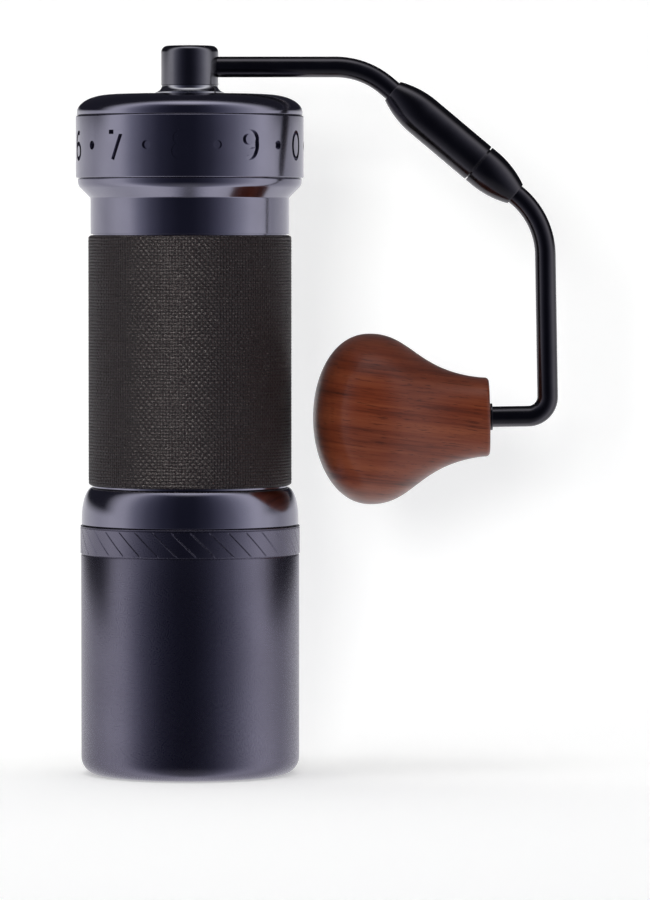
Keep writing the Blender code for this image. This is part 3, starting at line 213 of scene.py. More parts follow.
def turn(
    outline: Array,
    sides: int,
    closed: bool = True,
    place: Placement = Placement(),
    shape: Optional[Shape] = None,
) -> Shell:
    """A turned surface: the point at (radius, height) goes round the axis.

    Args:
        outline: the half section.
        sides: how many steps go round.
        closed: whether the half section is a loop; if not, it starts and ends on the axis.
        place: where the piece's axis is.
        shape: changes the arrays (radius, height, angle) before they are placed.

    Returns:
        The surface.
    """
    angle = np.repeat(np.linspace(0, TAU, sides, endpoint=False)[None, :], len(outline), axis=0)
    radius = np.repeat(outline[:, :1], sides, axis=1)
    height = np.repeat(outline[:, 1:2], sides, axis=1)
    if shape:
        radius, height, angle = shape(radius, height, angle)
    points = np.stack([radius * np.cos(angle), radius * np.sin(angle), height], axis=-1)
    return skin(place.put(points), closed, True)


def open_ring(
    outline: Array, opening: float, place: Placement = Placement(), sides: int = 96
) -> Shell:
    """A ring cut open on +X: its half section is carried round an arc and closed at both ends.

    Args:
        outline: the half section.
        opening: the width of the gap.
        place: where the ring's axis is.
        sides: how many stations there are round the arc.

    Returns:
        The surface.
    """
    half = math.asin(opening / 2 / outline[:, 0].mean())
    angle = np.linspace(half, TAU - half, sides)
    angle = np.concatenate([angle[:1], angle, angle[-1:]])[:, None]
    radius = np.repeat(outline[None, :, 0], len(angle), axis=0)
    height = np.repeat(outline[None, :, 1], len(angle), axis=0)
    for values in (radius, height):
        values[[0, -1]] = values[[0, -1]].mean(axis=1, keepdims=True)
    points = np.stack([radius * np.cos(angle), radius * np.sin(angle), height], axis=-1)
    return skin(place.put(points), False, True)


def tube(path: Array, radius: Array, across: Array, sides: int) -> Shell:
    """A round bar along a path: circles square to the path, closed by a point at each end.

    Args:
        path: the centres, of shape (stations, 3).
        radius: the bar's radius at each station.
        across: a unit vector at each station, square to the path.
        sides: how many steps go round.

    Returns:
        The surface.
    """
    along = np.gradient(path, axis=0)
    along /= np.linalg.norm(along, axis=1, keepdims=True)
    other = np.cross(along, across)
    angle = np.linspace(0, TAU, sides, endpoint=False)[None, :, None]
    offset = across[:, None] * np.cos(angle) + other[:, None] * np.sin(angle)
    points = path[:, None] + offset * radius[:, None, None]
    caps = [np.repeat(path[end][None, None], sides, axis=1) for end in (0, -1)]
    return skin(np.concatenate([caps[0], points, caps[1]]), False, True)


def coil(mean: float, wire: float, low: float, high: float, turns: float, place: Vec3) -> Shell:
    """A compression spring: the centre of its wire climbs a helix between two heights.

    Args:
        mean: the helix's radius.
        wire: the wire's radius.
        low: the height of the spring's foot.
        high: the height of its top.
        turns: how many turns there are, the flat end turns included.
        place: what the helix is moved by.

    Returns:
        The surface.
    """
    share = np.linspace(0, 1, int(turns * 40) + 1)
    angle = TAU * turns * share
    out = np.stack([np.cos(angle), np.sin(angle), np.zeros_like(angle)], axis=1)
    climb = np.clip((share * turns - 0.75) / (turns - 1.5), 0, 1)
    path = out * mean + np.array(place)
    path[:, 2] += low + wire + climb * (high - low - 2 * wire)
    return tube(path, np.full(len(path), wire), out, 12)


def rod_path(start: tuple[float, float], heading: float, legs: Sequence[Vec3]) -> Array:
    """The centreline of a bar bent in the XZ plane.

    Each leg is a straight length, then a bend in degrees at a radius. On a bend the place is
    the radius times the difference of sines along X, and of cosines along Z.

    Args:
        start: (x, z) of the first end.
        heading: its direction, in degrees below +X.
        legs: (straight, bend, radius) for each leg.

    Returns:
        Points of shape (stations, 3).
    """
    here = np.array([start[0], 0.0, start[1]])
    points = [here[None]]
    for straight, bend, radius in legs:
        slope = math.radians(heading)
        steps = np.linspace(0, straight, max(2, int(straight / 1.5)))[1:, None]
        points.append(here + steps * np.array([math.cos(slope), 0, -math.sin(slope)]))
        here = points[-1][-1]
        if bend:
            later = slope + np.radians(np.linspace(0, bend, math.ceil(bend / 2) + 1))[1:]
            change = [np.sin(later) - math.sin(slope), 0 * later, np.cos(later) - math.cos(slope)]
            points.append(here + radius * np.stack(change, axis=1))
            here = points[-1][-1]
            heading += bend
    return np.concatenate(points)


def bar(path: Array, radius: float, sides: int = 48, edge: float = 0.25) -> Shell:
    """A round bar along a path in the XZ plane, with a small chamfer at each end.

    Args:
        path: the centreline.
        radius: the bar's radius.
        sides: how many steps go round.
        edge: how much smaller the radius is at the ends.

    Returns:
        The surface.
    """
    ends = [path[0] + (path[1] - path[0]) / 6, path[-1] + (path[-2] - path[-1]) / 6]
    path = np.concatenate([path[:1], ends[0][None], path[1:-1], ends[1][None], path[-1:]])
    radii = np.full(len(path), radius)
    radii[[0, -1]] -= edge
    return tube(path, radii, np.repeat([[0.0, 1.0, 0.0]], len(path), axis=0), sides)


def block(low: Vec3, high: Vec3, degrees: float) -> Shell:
    """A box between two corners, turned about the grinder's axis.

    Args:
        low: the least x, y and z.
        high: the greatest x, y and z.
        degrees: how far it is turned, anticlockwise from above.

    Returns:
        The surface.
    """
    (x0, y0, z0), (x1, y1, z1) = low, high
    ends = np.array([(x0, y0), (x1, y0), (x1, y1), (x0, y1)])
    middle = np.repeat([[(x0 + x1) / 2, (y0 + y1) / 2]], 4, axis=0)
    rows = [(middle, z0), (ends, z0), (ends, z1), (middle, z1)]
    points = np.stack([np.column_stack([flat, np.full(4, z)]) for flat, z in rows])
    angle = math.radians(degrees)
    cos, sin = math.cos(angle), math.sin(angle)
    spin = np.array([[cos, sin, 0], [-sin, cos, 0], [0, 0, 1]])
    return skin(points @ spin, False, True)


def ball(radius: float, centre: Vec3, rows: int = 14, sides: int = 24) -> Shell:
    """A ball: circles of radius r cos(latitude) at height r sin(latitude).

    Args:
        radius: r.
        centre: where its centre is.
        rows: how many steps go from pole to pole.
        sides: how many steps go round.

    Returns:
        The surface.
    """
    latitude = np.linspace(-math.pi / 2, math.pi / 2, rows + 1)
    outline = radius * np.stack([np.cos(latitude), np.sin(latitude)], axis=1)
    outline[[0, -1], 0] = 0
    return turn(outline, sides, False, Placement(centre))


def hexagon(angle: Array, flats: float) -> Array:
    """A six-sided bar's radius: half its flats over the cosine of the angle from a flat's middle.

    Args:
        angle: the angles round the bar, in radians.
        flats: the distance between two opposite flats.

    Returns:
        The radius at each angle.
    """
    return flats / 2 / np.cos(np.mod(angle, HEXAGON) - HEXAGON / 2)


def tooth_wave(angle: Array, share: Array, twist: float, peak: float) -> Array:
    """The height of a burr's teeth: a wave that climbs straight to its peak and falls straight.

    Args:
        angle: the angles round the burr, in radians.
        share: how far up the cone each point is, from 0 to 1.
        twist: how many teeth a tooth leans round over the cone's height.
        peak: the share of a tooth's width at which it is highest.

    Returns:
        The height at each point, from 0 to 1.
    """
    wave = np.mod(angle * BURR_TEETH / TAU + twist * share, 1.0)
    return np.where(wave < peak, wave / peak, (1 - wave) / (1 - peak))


def merge(shells: Sequence[Shell]) -> Shell:
    """Several surfaces as one mesh, in order."""
    return reduce(Shell.__add__, shells)


def around(count: int, start: float = 0.0) -> Array:
    """Angles in degrees of a pattern round the axis."""
    return start + 360.0 * np.arange(count) / count


def spokes(low: Vec3, high: Vec3, angles: Sequence[float] = (90, 210, 330)) -> Shell:
    """The same box at several angles round the grinder's axis, by default three."""
    return merge([block(low, high, angle) for angle in angles])


def on_circle(radius: float, degrees: float, height: float = 0.0) -> Vec3:
    """A place on a circle round the grinder's axis."""
    angle = math.radians(degrees)
    return radius * math.cos(angle), radius * math.sin(angle), height


# ---------------------------------------------------------------- finishes


class Slot(Enum):
    """The grinder's finishes: the record's name, then what tells two grades of it apart."""

    ANODISED = "anodised_aluminium"
    CUP = "anodised_aluminium, cup"
    GRIP = "grip_rubber"
    HUB = "hub_coat"
    BLACK = "black_coat"
    POLISHED = "polished_steel"
    BARE = "bare_aluminium"
    BURR = "burr_steel"
    SPRING = "spring_steel"
    BRONZE = "bronze"
    MAGNET = "nickel_magnet"
    SILICONE = "silicone"
    WOOD = "lacquered_wood"

    @property
    def record_name(self) -> str:
        """The record's name for the finish."""
        return self.value.split(",")[0]


def linear(colour: str) -> tuple[float, float, float, float]:
    """An sRGB hex colour as linear red, green, blue and alpha."""
    parts = np.array([int(colour[place : place + 2], 16) / 255 for place in (0, 2, 4)])
    parts = np.where(parts <= 0.04045, parts / 12.92, ((parts + 0.055) / 1.055) ** 2.4)
    return (*(float(part) for part in parts), 1.0)


def add_node(tree: Any, kind: str, inputs: dict[Any, Any], **settings: Any) -> Any:
    """Adds one node to a tree.

    Args:
        tree: the node tree.
        kind: Blender's name for the kind of node.
        inputs: values by input; a socket is linked, and anything else is set.
        settings: the node's own settings.

    Returns:
        The node.
    """
    node = tree.nodes.new(kind)
    for name, value in settings.items():
        setattr(node, name, value)
    for name, value in inputs.items():
        if isinstance(value, bpy.types.NodeSocket):
            tree.links.new(value, node.inputs[name])
        else:
            node.inputs[name].default_value = value
    return node


def start_material(name: str, **values: Any) -> tuple[Any, Any, Any, Any]:
    """A new material with its Principled shader's uniform values set.

    Args:
        name: the material's name.
        values: the shader's inputs, with _ for a space.

    Returns:
        The material, its node tree, its shader and the object coordinates socket.
    """
    material = bpy.data.materials.new(name)
    material.use_nodes = True
    tree = material.node_tree
    shader = tree.nodes["Principled BSDF"]
    for key, value in values.items():
        shader.inputs[key.replace("_", " ")].default_value = value
    place = add_node(tree, "ShaderNodeTexCoord", {}).outputs["Object"]
    return material, tree, shader, place


def ramp(tree: Any, factor: Any, stops: Sequence[tuple[float, str]]) -> Any:
    """Adds a colour ramp.

    Args:
        tree: the node tree.
        factor: the socket that drives it.
        stops: (position, hex colour) in order.

    Returns:
        Its colour socket.
    """
    node = add_node(tree, "ShaderNodeValToRGB", {"Fac": factor})
    elements = node.color_ramp.elements
    while len(elements) < len(stops):
        elements.new(0.5)
    for element, (position, colour) in zip(elements, stops):
        element.position = position
        element.color = linear(colour)
    return node.outputs["Color"]


def dress(tree: Any, shader: Any, colour: Any, roughness: Any, normal: Any) -> None:
    """Links the three patterned sockets of a shader.

    Args:
        tree: the node tree.
        shader: the Principled shader.
        colour: the colour's socket.
        roughness: the roughness's socket.
        normal: the bumped normal's socket.
    """
    tree.links.new(colour, shader.inputs["Base Color"])
    tree.links.new(roughness, shader.inputs["Roughness"])
    tree.links.new(normal, shader.inputs["Normal"])


@dataclass(frozen=True)
class AnodisedAluminium:
    """Bead blasted, dyed and sealed aluminium: dark, a little purple, with soft wide gloss."""

    name: str = "dark_anodised_aluminium"
    dark: str = "9896a4"
    light: str = "a3a1b0"
    roughness: float = 0.15
    grit_mm: float = 0.22  # blasting grit is finer, and is drawn as coarse as it shows
    grit_depth_mm: float = 0.004

    def make(self) -> Any:
        """Builds the material."""
        material, tree, shader, place = start_material(self.name, Metallic=1.0)
        grit = add_node(
            tree, "ShaderNodeTexNoise",
            {"Vector": place, "Scale": 1 / (self.grit_mm * MM), "Detail": 3.0, "Roughness": 0.6},
        ).outputs["Fac"]
        cloud = add_node(
            tree, "ShaderNodeTexNoise",
            {"Vector": place, "Scale": 1 / (18 * MM), "Detail": 4.0, "Roughness": 0.55},
        ).outputs["Fac"]
        colour = ramp(tree, cloud, [(0.3, self.dark), (0.7, self.light)])
        rough = add_node(
            tree, "ShaderNodeMapRange",
            {0: grit, 1: 0.3, 2: 0.7, 3: self.roughness - 0.02, 4: self.roughness + 0.03},
        ).outputs[0]
        bump = add_node(
            tree, "ShaderNodeBump",
            {"Height": grit, "Strength": 0.35, "Distance": self.grit_depth_mm * MM},
        ).outputs["Normal"]
        dress(tree, shader, colour, rough, bump)
        return material


@dataclass(frozen=True)
class TurnedMetal:
    """Bare or plated metal from a lathe: fine rings round the axis pull its highlights out."""

    name: str
    dark: str
    light: str
    roughness: float
    ring_mm: float = 0.12  # feed marks, drawn as coarse as they show
    ring_depth_mm: float = 0.002
    fleck_mm: float = 1.5
    metallic: float = 1.0

    def make(self) -> Any:
        """Builds the material: its ring height is a noise of distance from the axis and height."""
        material, tree, shader, place = start_material(self.name, Metallic=self.metallic)
        parts = add_node(tree, "ShaderNodeSeparateXYZ", {"Vector": place}).outputs
        flat = add_node(tree, "ShaderNodeCombineXYZ", {"X": parts["X"], "Y": parts["Y"]})
        away = add_node(
            tree, "ShaderNodeVectorMath", {0: flat.outputs[0]}, operation="LENGTH"
        ).outputs["Value"]
        line = add_node(tree, "ShaderNodeCombineXYZ", {"X": away, "Z": parts["Z"]}).outputs[0]
        rings = add_node(
            tree, "ShaderNodeTexNoise",
            {"Vector": line, "Scale": 1 / (self.ring_mm * MM), "Detail": 2.0},
        ).outputs["Fac"]
        fleck = add_node(
            tree, "ShaderNodeTexNoise",
            {"Vector": place, "Scale": 1 / (self.fleck_mm * MM), "Detail": 5.0, "Roughness": 0.7},
        ).outputs["Fac"]
        colour = ramp(tree, fleck, [(0.3, self.dark), (0.65, self.light)])
        rough = add_node(
            tree, "ShaderNodeMapRange",
            {0: fleck, 1: 0.3, 2: 0.7, 3: self.roughness * 0.85, 4: self.roughness * 1.2},
        ).outputs[0]
        bump = add_node(
            tree, "ShaderNodeBump",
            {"Height": rings, "Strength": 0.4, "Distance": self.ring_depth_mm * MM},
        ).outputs["Normal"]
        dress(tree, shader, colour, rough, bump)
        return material


@dataclass(frozen=True)
class SatinCoat:
    """Baked black paint on steel: satin, with a very slight orange peel."""

    name: str
    dark: str
    light: str
    roughness: float
    metallic: float = 0.0
    peel_mm: float = 0.8
    peel_depth_mm: float = 0.006

    def make(self) -> Any:
        """Builds the material."""
        material, tree, shader, place = start_material(
            self.name, Metallic=self.metallic, Specular_IOR_Level=0.5
        )
        peel = add_node(
            tree, "ShaderNodeTexNoise",
            {"Vector": place, "Scale": 1 / (self.peel_mm * MM), "Detail": 2.0},
        ).outputs["Fac"]
        dust = add_node(
            tree, "ShaderNodeTexNoise",
            {"Vector": place, "Scale": 1 / (6 * MM), "Detail": 6.0, "Roughness": 0.7},
        ).outputs["Fac"]
        colour = ramp(tree, dust, [(0.3, self.dark), (0.75, self.light)])
        rough = add_node(
            tree, "ShaderNodeMapRange",
            {0: dust, 1: 0.3, 2: 0.7, 3: self.roughness - 0.03, 4: self.roughness + 0.04},
        ).outputs[0]
        bump = add_node(
            tree, "ShaderNodeBump",
            {"Height": peel, "Strength": 0.3, "Distance": self.peel_depth_mm * MM},
        ).outputs["Normal"]
        dress(tree, shader, colour, rough, bump)
        return material


@dataclass(frozen=True)
class WovenRubber:
    """Rubber moulded like coarse linen: uneven threads whose crowns catch the light as specks."""

    name: str = "linen_texture_rubber"
    # The pit colour is painted shade, laid in the weave's hollows.
    pit: str = "080404"
    crown: str = "2a1c1d"
    roughness: float = 0.3
    depth_mm: float = 0.42
    slub_mm: float = 6.0

    def make(self) -> Any:
        """Builds the material.

        One cosine counts threads round the grinder and the other counts them up it. Where their
        product is positive an upright thread is on top, and elsewhere a level one is. A noise
        stretched along each set of threads thickens some and thins others.
        """
        material, tree, shader, place = start_material(self.name, Specular_IOR_Level=0.9)
        parts = add_node(tree, "ShaderNodeSeparateXYZ", {"Vector": place}).outputs

        def calculate(operation: str, *values: Any) -> Any:
            """One step of arithmetic."""
            inputs = dict(enumerate(values))
            return add_node(tree, "ShaderNodeMath", inputs, operation=operation).outputs[0]

        def slubs(round_mm: float, up_mm: float) -> Any:
            """A noise whose cells are so long round the grinder and so long up it."""
            spread = add_node(
                tree, "ShaderNodeMapping",
                {"Vector": place,
                 "Scale": (1 / (round_mm * MM), 1 / (round_mm * MM), 1 / (up_mm * MM))},
            ).outputs[0]
            return add_node(
                tree, "ShaderNodeTexNoise",
                {"Vector": spread, "Scale": 1.0, "Detail": 2.0, "Roughness": 0.6},
            ).outputs["Fac"]

        drift = calculate("MULTIPLY_ADD", slubs(2.5, 9.0), 2.6, -1.3)
        sway = calculate("MULTIPLY_ADD", slubs(9.0, 2.5), 2.6, -1.3)
        angle = calculate("ARCTAN2", parts["Y"], parts["X"])
        turned = calculate("MULTIPLY_ADD", angle, GRIP_THREADS / 2, drift)
        per_mm = math.pi / GRIP_PITCH
        level = calculate("MULTIPLY_ADD", parts["Z"], per_mm / MM, -GRIP_LOW * per_mm)
        upright = calculate("COSINE", turned)
        flat = calculate("COSINE", calculate("ADD", level, sway))
        both = calculate("MULTIPLY", upright, flat)
        over = add_node(tree, "ShaderNodeMapRange", {0: both, 1: -0.12, 2: 0.12}).outputs[0]
        tall = calculate("MULTIPLY_ADD", slubs(0.5, self.slub_mm), 1.5, 0.2)
        wide = calculate("MULTIPLY_ADD", slubs(self.slub_mm, 0.5), 1.5, 0.2)
        thread = add_node(
            tree, "ShaderNodeMix",
            {0: over, 2: calculate("MULTIPLY", calculate("ABSOLUTE", flat), wide),
             3: calculate("MULTIPLY", calculate("ABSOLUTE", upright), tall)}, data_type="FLOAT",
        ).outputs[0]
        height = calculate("MULTIPLY_ADD", calculate("ABSOLUTE", both), 0.8, thread)
        fray = add_node(
            tree, "ShaderNodeTexNoise",
            {"Vector": place, "Scale": 1 / (0.45 * MM), "Detail": 3.0, "Roughness": 0.7},
        ).outputs["Fac"]
        height = calculate("MULTIPLY_ADD", fray, 0.9, height)
        # Darker as the weave sinks: painted shade in its hollows, from the crown colour to the pit
        # colour.
        shade = add_node(tree, "ShaderNodeMapRange", {0: height, 1: 0.7, 2: 2.2}).outputs[0]
        colour = ramp(tree, shade, [(0.0, self.pit), (1.0, self.crown)])
        bump = add_node(
            tree, "ShaderNodeBump",
            {"Height": height, "Strength": 1.0, "Distance": self.depth_mm * MM},
        ).outputs["Normal"]
        rough = add_node(
            tree, "ShaderNodeMapRange",
            {0: shade, 3: self.roughness + 0.2, 4: self.roughness - 0.06},
        ).outputs[0]
        dress(tree, shader, colour, rough, bump)
        return material


@dataclass(frozen=True)
class LacqueredWood:
    """Turned reddish hardwood under satin lacquer: long pores and dark streaks along the knob."""

    name: str = "lacquered_wood"
    streak: str = "2c1009"
    body: str = "6a2f1a"
    pale: str = "84452a"
    roughness: float = 0.38
    tilt: float = 7.5  # degrees from the knob's axis to the grain
    pore_mm: float = 0.28
    pore_length_mm: float = 5.0

    def make(self) -> Any:
        """Builds the material: noises stretched along the grain give streaks, bands and pores."""
        material, tree, shader, place = start_material(
            self.name, Coat_Weight=0.3, Coat_Roughness=0.2, Specular_IOR_Level=0.25,
            Sheen_Weight=0.14, Sheen_Roughness=0.3
        )
        lean = (0, math.radians(-self.tilt), 0)
        turned = add_node(tree, "ShaderNodeMapping", {"Vector": place, "Rotation": lean}).outputs[0]

        def streaks(width: float, length: float, detail: float, shift: float) -> Any:
            """A noise whose cells are sheets across the knob, as thick and long as given."""
            scale = (1 / (length * MM), 1 / (0.6 * length * MM), 1 / (width * MM))
            spread = add_node(
                tree, "ShaderNodeMapping",
                {"Vector": turned, "Location": (shift, shift, 0), "Scale": scale},
            ).outputs[0]
            return add_node(
                tree, "ShaderNodeTexNoise",
                {"Vector": spread, "Scale": 1.0, "Detail": detail, "Roughness": 0.6},
            ).outputs["Fac"]

        bands = streaks(4.0, 90.0, 2.0, 1.0)
        fine = streaks(0.6, 26.0, 3.0, 5.0)
        pores = streaks(self.pore_mm, self.pore_length_mm, 2.0, 9.0)
        mixed = add_node(
            tree, "ShaderNodeMath", {0: bands, 1: 0.62, 2: 0.0}, operation="MULTIPLY"
        ).outputs[0]
        mixed = add_node(
            tree, "ShaderNodeMath", {0: fine, 1: 0.38, 2: mixed}, operation="MULTIPLY_ADD"
        ).outputs[0]
        colour = ramp(
            tree, mixed, [(0.28, self.streak), (0.46, self.body), (0.7, self.pale)]
        )
        open_pore = add_node(
            tree, "ShaderNodeMapRange", {0: pores, 1: 0.33, 2: 0.42, 3: 0.55, 4: 0.0}
        ).outputs[0]
        colour = add_node(
            tree, "ShaderNodeMix", {0: open_pore, 6: colour, 7: linear(self.streak)},
            data_type="RGBA",
        ).outputs[2]
        bump = add_node(
            tree, "ShaderNodeBump", {"Height": pores, "Strength": 0.15, "Distance": 0.02 * MM}
        ).outputs["Normal"]
        rough = add_node(
            tree, "ShaderNodeMapRange",
            {0: mixed, 1: 0.3, 2: 0.7, 3: self.roughness + 0.08, 4: self.roughness - 0.05},
        ).outputs[0]
        dress(tree, shader, colour, rough, bump)
        return material


class Finishes:
    """One material for each slot, made the first time it is asked for."""

    def __init__(self) -> None:
        """Keeps the recipe of each finish."""
        self.recipes: dict[Slot, Any] = {
            # The tube, dial and lid are glossier than the cup; the cup's darker colour is painted
            # shade for the lesser light low down.
            Slot.ANODISED: AnodisedAluminium(),
            Slot.CUP: AnodisedAluminium("matt_anodised_aluminium", "7d7a88", "888594", 0.26),
            Slot.GRIP: WovenRubber(),
            # Two black coats that show the metal's sheen: the hub's is thinner and smoother.
            Slot.HUB: SatinCoat("dark_hub_coat", "7c7b80", "88878c", 0.16, 1.0, 0.3, 0.001),
            Slot.BLACK: SatinCoat("black_coated_steel", "5a585b", "656366", 0.22, 1.0, 0.8, 0.002),
            # Steels and aluminium as turned, from mirror bright to dull grey.
            Slot.POLISHED: TurnedMetal("polished_steel", "c4c4c8", "d4d4d6", 0.12),
            Slot.BARE: TurnedMetal("bare_aluminium", "b2b2b6", "c6c6c9", 0.34, 0.2, 0.004),
            Slot.BURR: TurnedMetal("burr_steel", "96938f", "aeaba6", 0.3, 0.15, 0.003),
            Slot.SPRING: TurnedMetal("spring_steel", "a8a8ac", "bcbcc0", 0.24),
            # Porous bronze, warm and dull; plated magnets, warm and bright; matt black silicone.
            Slot.BRONZE: TurnedMetal("sintered_bronze", "8f6534", "b58a50", 0.42, 0.3, 0.01, 0.3),
            Slot.MAGNET: TurnedMetal("nickel_plated_magnet", "cbc9c2", "dad8d2", 0.16),
            Slot.SILICONE: SatinCoat("silicone_seal", "101011", "1a1a1b", 0.5),
            Slot.WOOD: LacqueredWood(),
        }
        self.made: dict[Slot, Any] = {}

    def get(self, slot: Slot) -> Any:
        """The material of a slot."""
        if slot not in self.made:
            self.made[slot] = self.recipes[slot].make()
        return self.made[slot]


# ---------------------------------------------------------------- the maker


class Bench:
    """Puts surfaces in the scene as finished pieces on the grinder's bodies."""

    def __init__(self, finishes: Finishes) -> None:
        """Keeps the finishes.

        Args:
            finishes: where materials come from.
        """
        self.finishes = finishes

    def raw(self, name: str, shell: Shell) -> Any:
        """A plain object of a surface, with its points in metres."""
        mesh = bpy.data.meshes.new(name)
        mesh.from_pydata(shell.points * MM, [], shell.faces)
        mesh.update()
        made = bpy.data.objects.new(name, mesh)
        bpy.context.scene.collection.objects.link(made)
        return made

    def carve(self, made: Any, tools: Sequence[Shell], operation: str = "DIFFERENCE") -> None:
        """Cuts or joins surfaces to an object, one after another, and keeps the result.

        Args:
            made: the object.
            tools: the surfaces that cut it or join it.
            operation: Blender's name for what they do.
        """
        helpers = [self.raw(f"{made.name}_tool_{index}", tool) for index, tool in enumerate(tools)]
        for helper in helpers:
            step = made.modifiers.new(helper.name, "BOOLEAN")
            step.operation = operation
            step.solver = "EXACT"
            step.object = helper
        bpy.context.view_layer.update()
        graph = bpy.context.evaluated_depsgraph_get()
        result = bpy.data.meshes.new_from_object(made.evaluated_get(graph))
        made.modifiers.clear()
        made.data = result
        for helper in helpers:
            bpy.data.objects.remove(helper)

    def finish(self, made: Any, body: str, nodes: Sequence[str], slot: Slot, crease: float) -> Any:
        """Smooths, dresses and mounts an object.

        Args:
            made: the object.
            nodes: the CAD nodes that it stands for.
            slot: its finish.
            crease: edges that turn more than this, in degrees, stay crisp.

        Returns:
            The object.
        """
        made.data.shade_smooth()
        if crease < 180:
            made.data.set_sharp_from_angle(angle=math.radians(crease))
        made.data.materials.clear()
        made.data.materials.append(self.finishes.get(slot))
        if body:
            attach(made, body)
        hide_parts(*nodes)
        LOG.info("%s: %d faces on %s", made.name, len(made.data.polygons), body or "two bodies")
        return made

    def place(
        self,
        name: str,
        shell: Shell,
        body: str,
        slot: Slot,
        nodes: Sequence[str] = (),
        cut: Sequence[Shell] = (),
        join: Sequence[Shell] = (),
        crease: float = 32.0,
    ) -> Any:
        """Makes a finished piece of a surface.

        Args:
            name: the piece's name.
            shell: its surface.
            slot: its finish.
            nodes: the CAD nodes that it stands for, or none for the node of its own name.
            cut: surfaces that are cut from it.
            join: surfaces that are joined to it first.
            crease: edges that turn more than this, in degrees, stay crisp.

        Returns:
            The object.
        """
        made = self.raw(name, shell)
        if join:
            self.carve(made, join, "UNION")
        if cut:
            self.carve(made, cut)
        return self.finish(made, body, nodes or [name], slot, crease)


@dataclass
class CatchCup:
    """The cup that catches the grounds, with a slant-cut band and magnets in its rim."""

    bench: Bench
    radius: float = 28.5
    height: float = 65.0
    bore: float = 26.3
    floor: float = 2.6
    foot: float = 4.5
    band_low: float = 57.6
    band_radius: float = 28.65
    rim_bore: float = 24.3
    rim_depth: float = 10.0
    ramp: float = 2.5
    grooves: int = 36
    groove_half: float = 0.24
    groove_depth: float = 0.15
    slant: float = 15.3  # degrees that a groove goes round over the band's height
    magnets: int = 6
    magnet_circle: float = 26.2
    magnet_radius: float = 1.3
    magnet_height: float = 2.0
    body: str = "catch_cup"

    def shell(self) -> Array:
        """The cup's surface.

        Columns lean with the grooves inside the band and stand upright elsewhere. A groove's
        depth falls off in a straight line with the distance across it, and a border line goes
        round each edge of the band.
        """
        pitch = 360.0 / self.grooves
        half = math.degrees(self.groove_half / self.band_radius)
        across = half * np.array([-1.35, -1, -0.66, -0.33, 0, 0.33, 0.66, 1, 1.35])
        fill = np.linspace(across[-1], pitch + across[0], 6)[1:-1]
        one = np.concatenate([across, fill])
        columns = (around(self.grooves, -90.0)[:, None] + one[None, :]).reshape(-1)
        off = np.minimum(np.abs(one), pitch - np.abs(one)) / half
        cut = np.tile(np.clip(1 - off, 0, 1), self.grooves)
        low, high = self.band_low, self.height
        foot = self.foot
        outline = section([(self.radius - foot - 2, 0), (self.radius, 0, foot), (self.radius, 20)],
                          closed=False, step=6)
        line = 0.16
        below = [(0, 0), *outline[:-1].tolist(), (self.radius, 30.0), (self.radius, low - 0.35),
                 (self.radius - 0.1, low - 0.2), (self.radius - 0.22, low - 0.05),
                 (self.radius - 0.22, low + 0.05), (self.band_radius - 0.08, low + 0.14),
                 (self.band_radius, low + 0.24)]
        band = [(self.band_radius, z) for z in np.linspace(low + 0.62, high - 0.95, 22)]
        top = high - 0.55
        above = [(self.band_radius, top - 0.02), (self.band_radius - line, top + 0.1),
                 (self.band_radius - line, top + 0.16), (self.band_radius - 0.01, top + 0.28)]
        rim = section(
            [(self.band_radius, top + 0.28), (self.band_radius, high, 0.2),
             (self.rim_bore, high, 0.25), (self.rim_bore, high - self.rim_depth, 0.2),
             (self.bore, high - self.rim_depth - self.ramp, 1.0),
             (self.bore, self.floor, foot - 0.6), (0, self.floor)],
            closed=False, step=12,
        )
        half_section = np.array(
            [*below, (self.band_radius, low + 0.34), *band, (self.band_radius, high - 0.68),
             *above, *rim[1:].tolist()]
        )
        heights = half_section[:, 1]
        rows = np.arange(len(half_section))
        first, last = len(below), len(below) + len(band) + 1
        lean = np.clip((high - heights) / (high - low), 0, 1)
        lean[rows >= last] = lean[last]
        lean[rows < first] = lean[first]
        in_band = (rows > first) & (rows < last)
        radius = half_section[:, :1] - in_band[:, None] * self.groove_depth * cut[None, :]
        angle = np.radians(columns[None, :] + self.slant * lean[:, None])
        points = np.stack(
            [radius * np.cos(angle), radius * np.sin(angle), np.repeat(heights[:, None],
             len(columns), axis=1)], axis=-1
        )
        return points

    def build(self) -> None:
        """Makes the cup and its magnets."""
        low = self.height - self.magnet_height - SEAT
        spots = [on_circle(self.magnet_circle, angle) for angle in around(self.magnets, 30)]
        pockets = [
            turn(section([(0, low - SEAT), (self.magnet_radius + SEAT, low - SEAT, 0.2),
                          (self.magnet_radius + SEAT, self.height + 1), (0, self.height + 1)],
                         closed=False), 40, False, Placement(spot))
            for spot in spots
        ]
        self.bench.place(
            "catch_cup_shell", skin(self.shell(), False, True), self.body, Slot.CUP,
            ["catch_cup"], cut=[merge(pockets)], crease=40,
        )
        for index, spot in enumerate(spots, start=1):
            magnet = section(
                [(0, low), (self.magnet_radius, low, 0.15),
                 (self.magnet_radius, low + self.magnet_height, 0.2),
                 (0, low + self.magnet_height)], closed=False, step=30,
            )
            self.bench.place(
                f"magnet_disc_{index}", turn(magnet, 40, False, Placement(spot)), self.body,
                Slot.MAGNET, [f"cup_magnet_{index}"],
            )


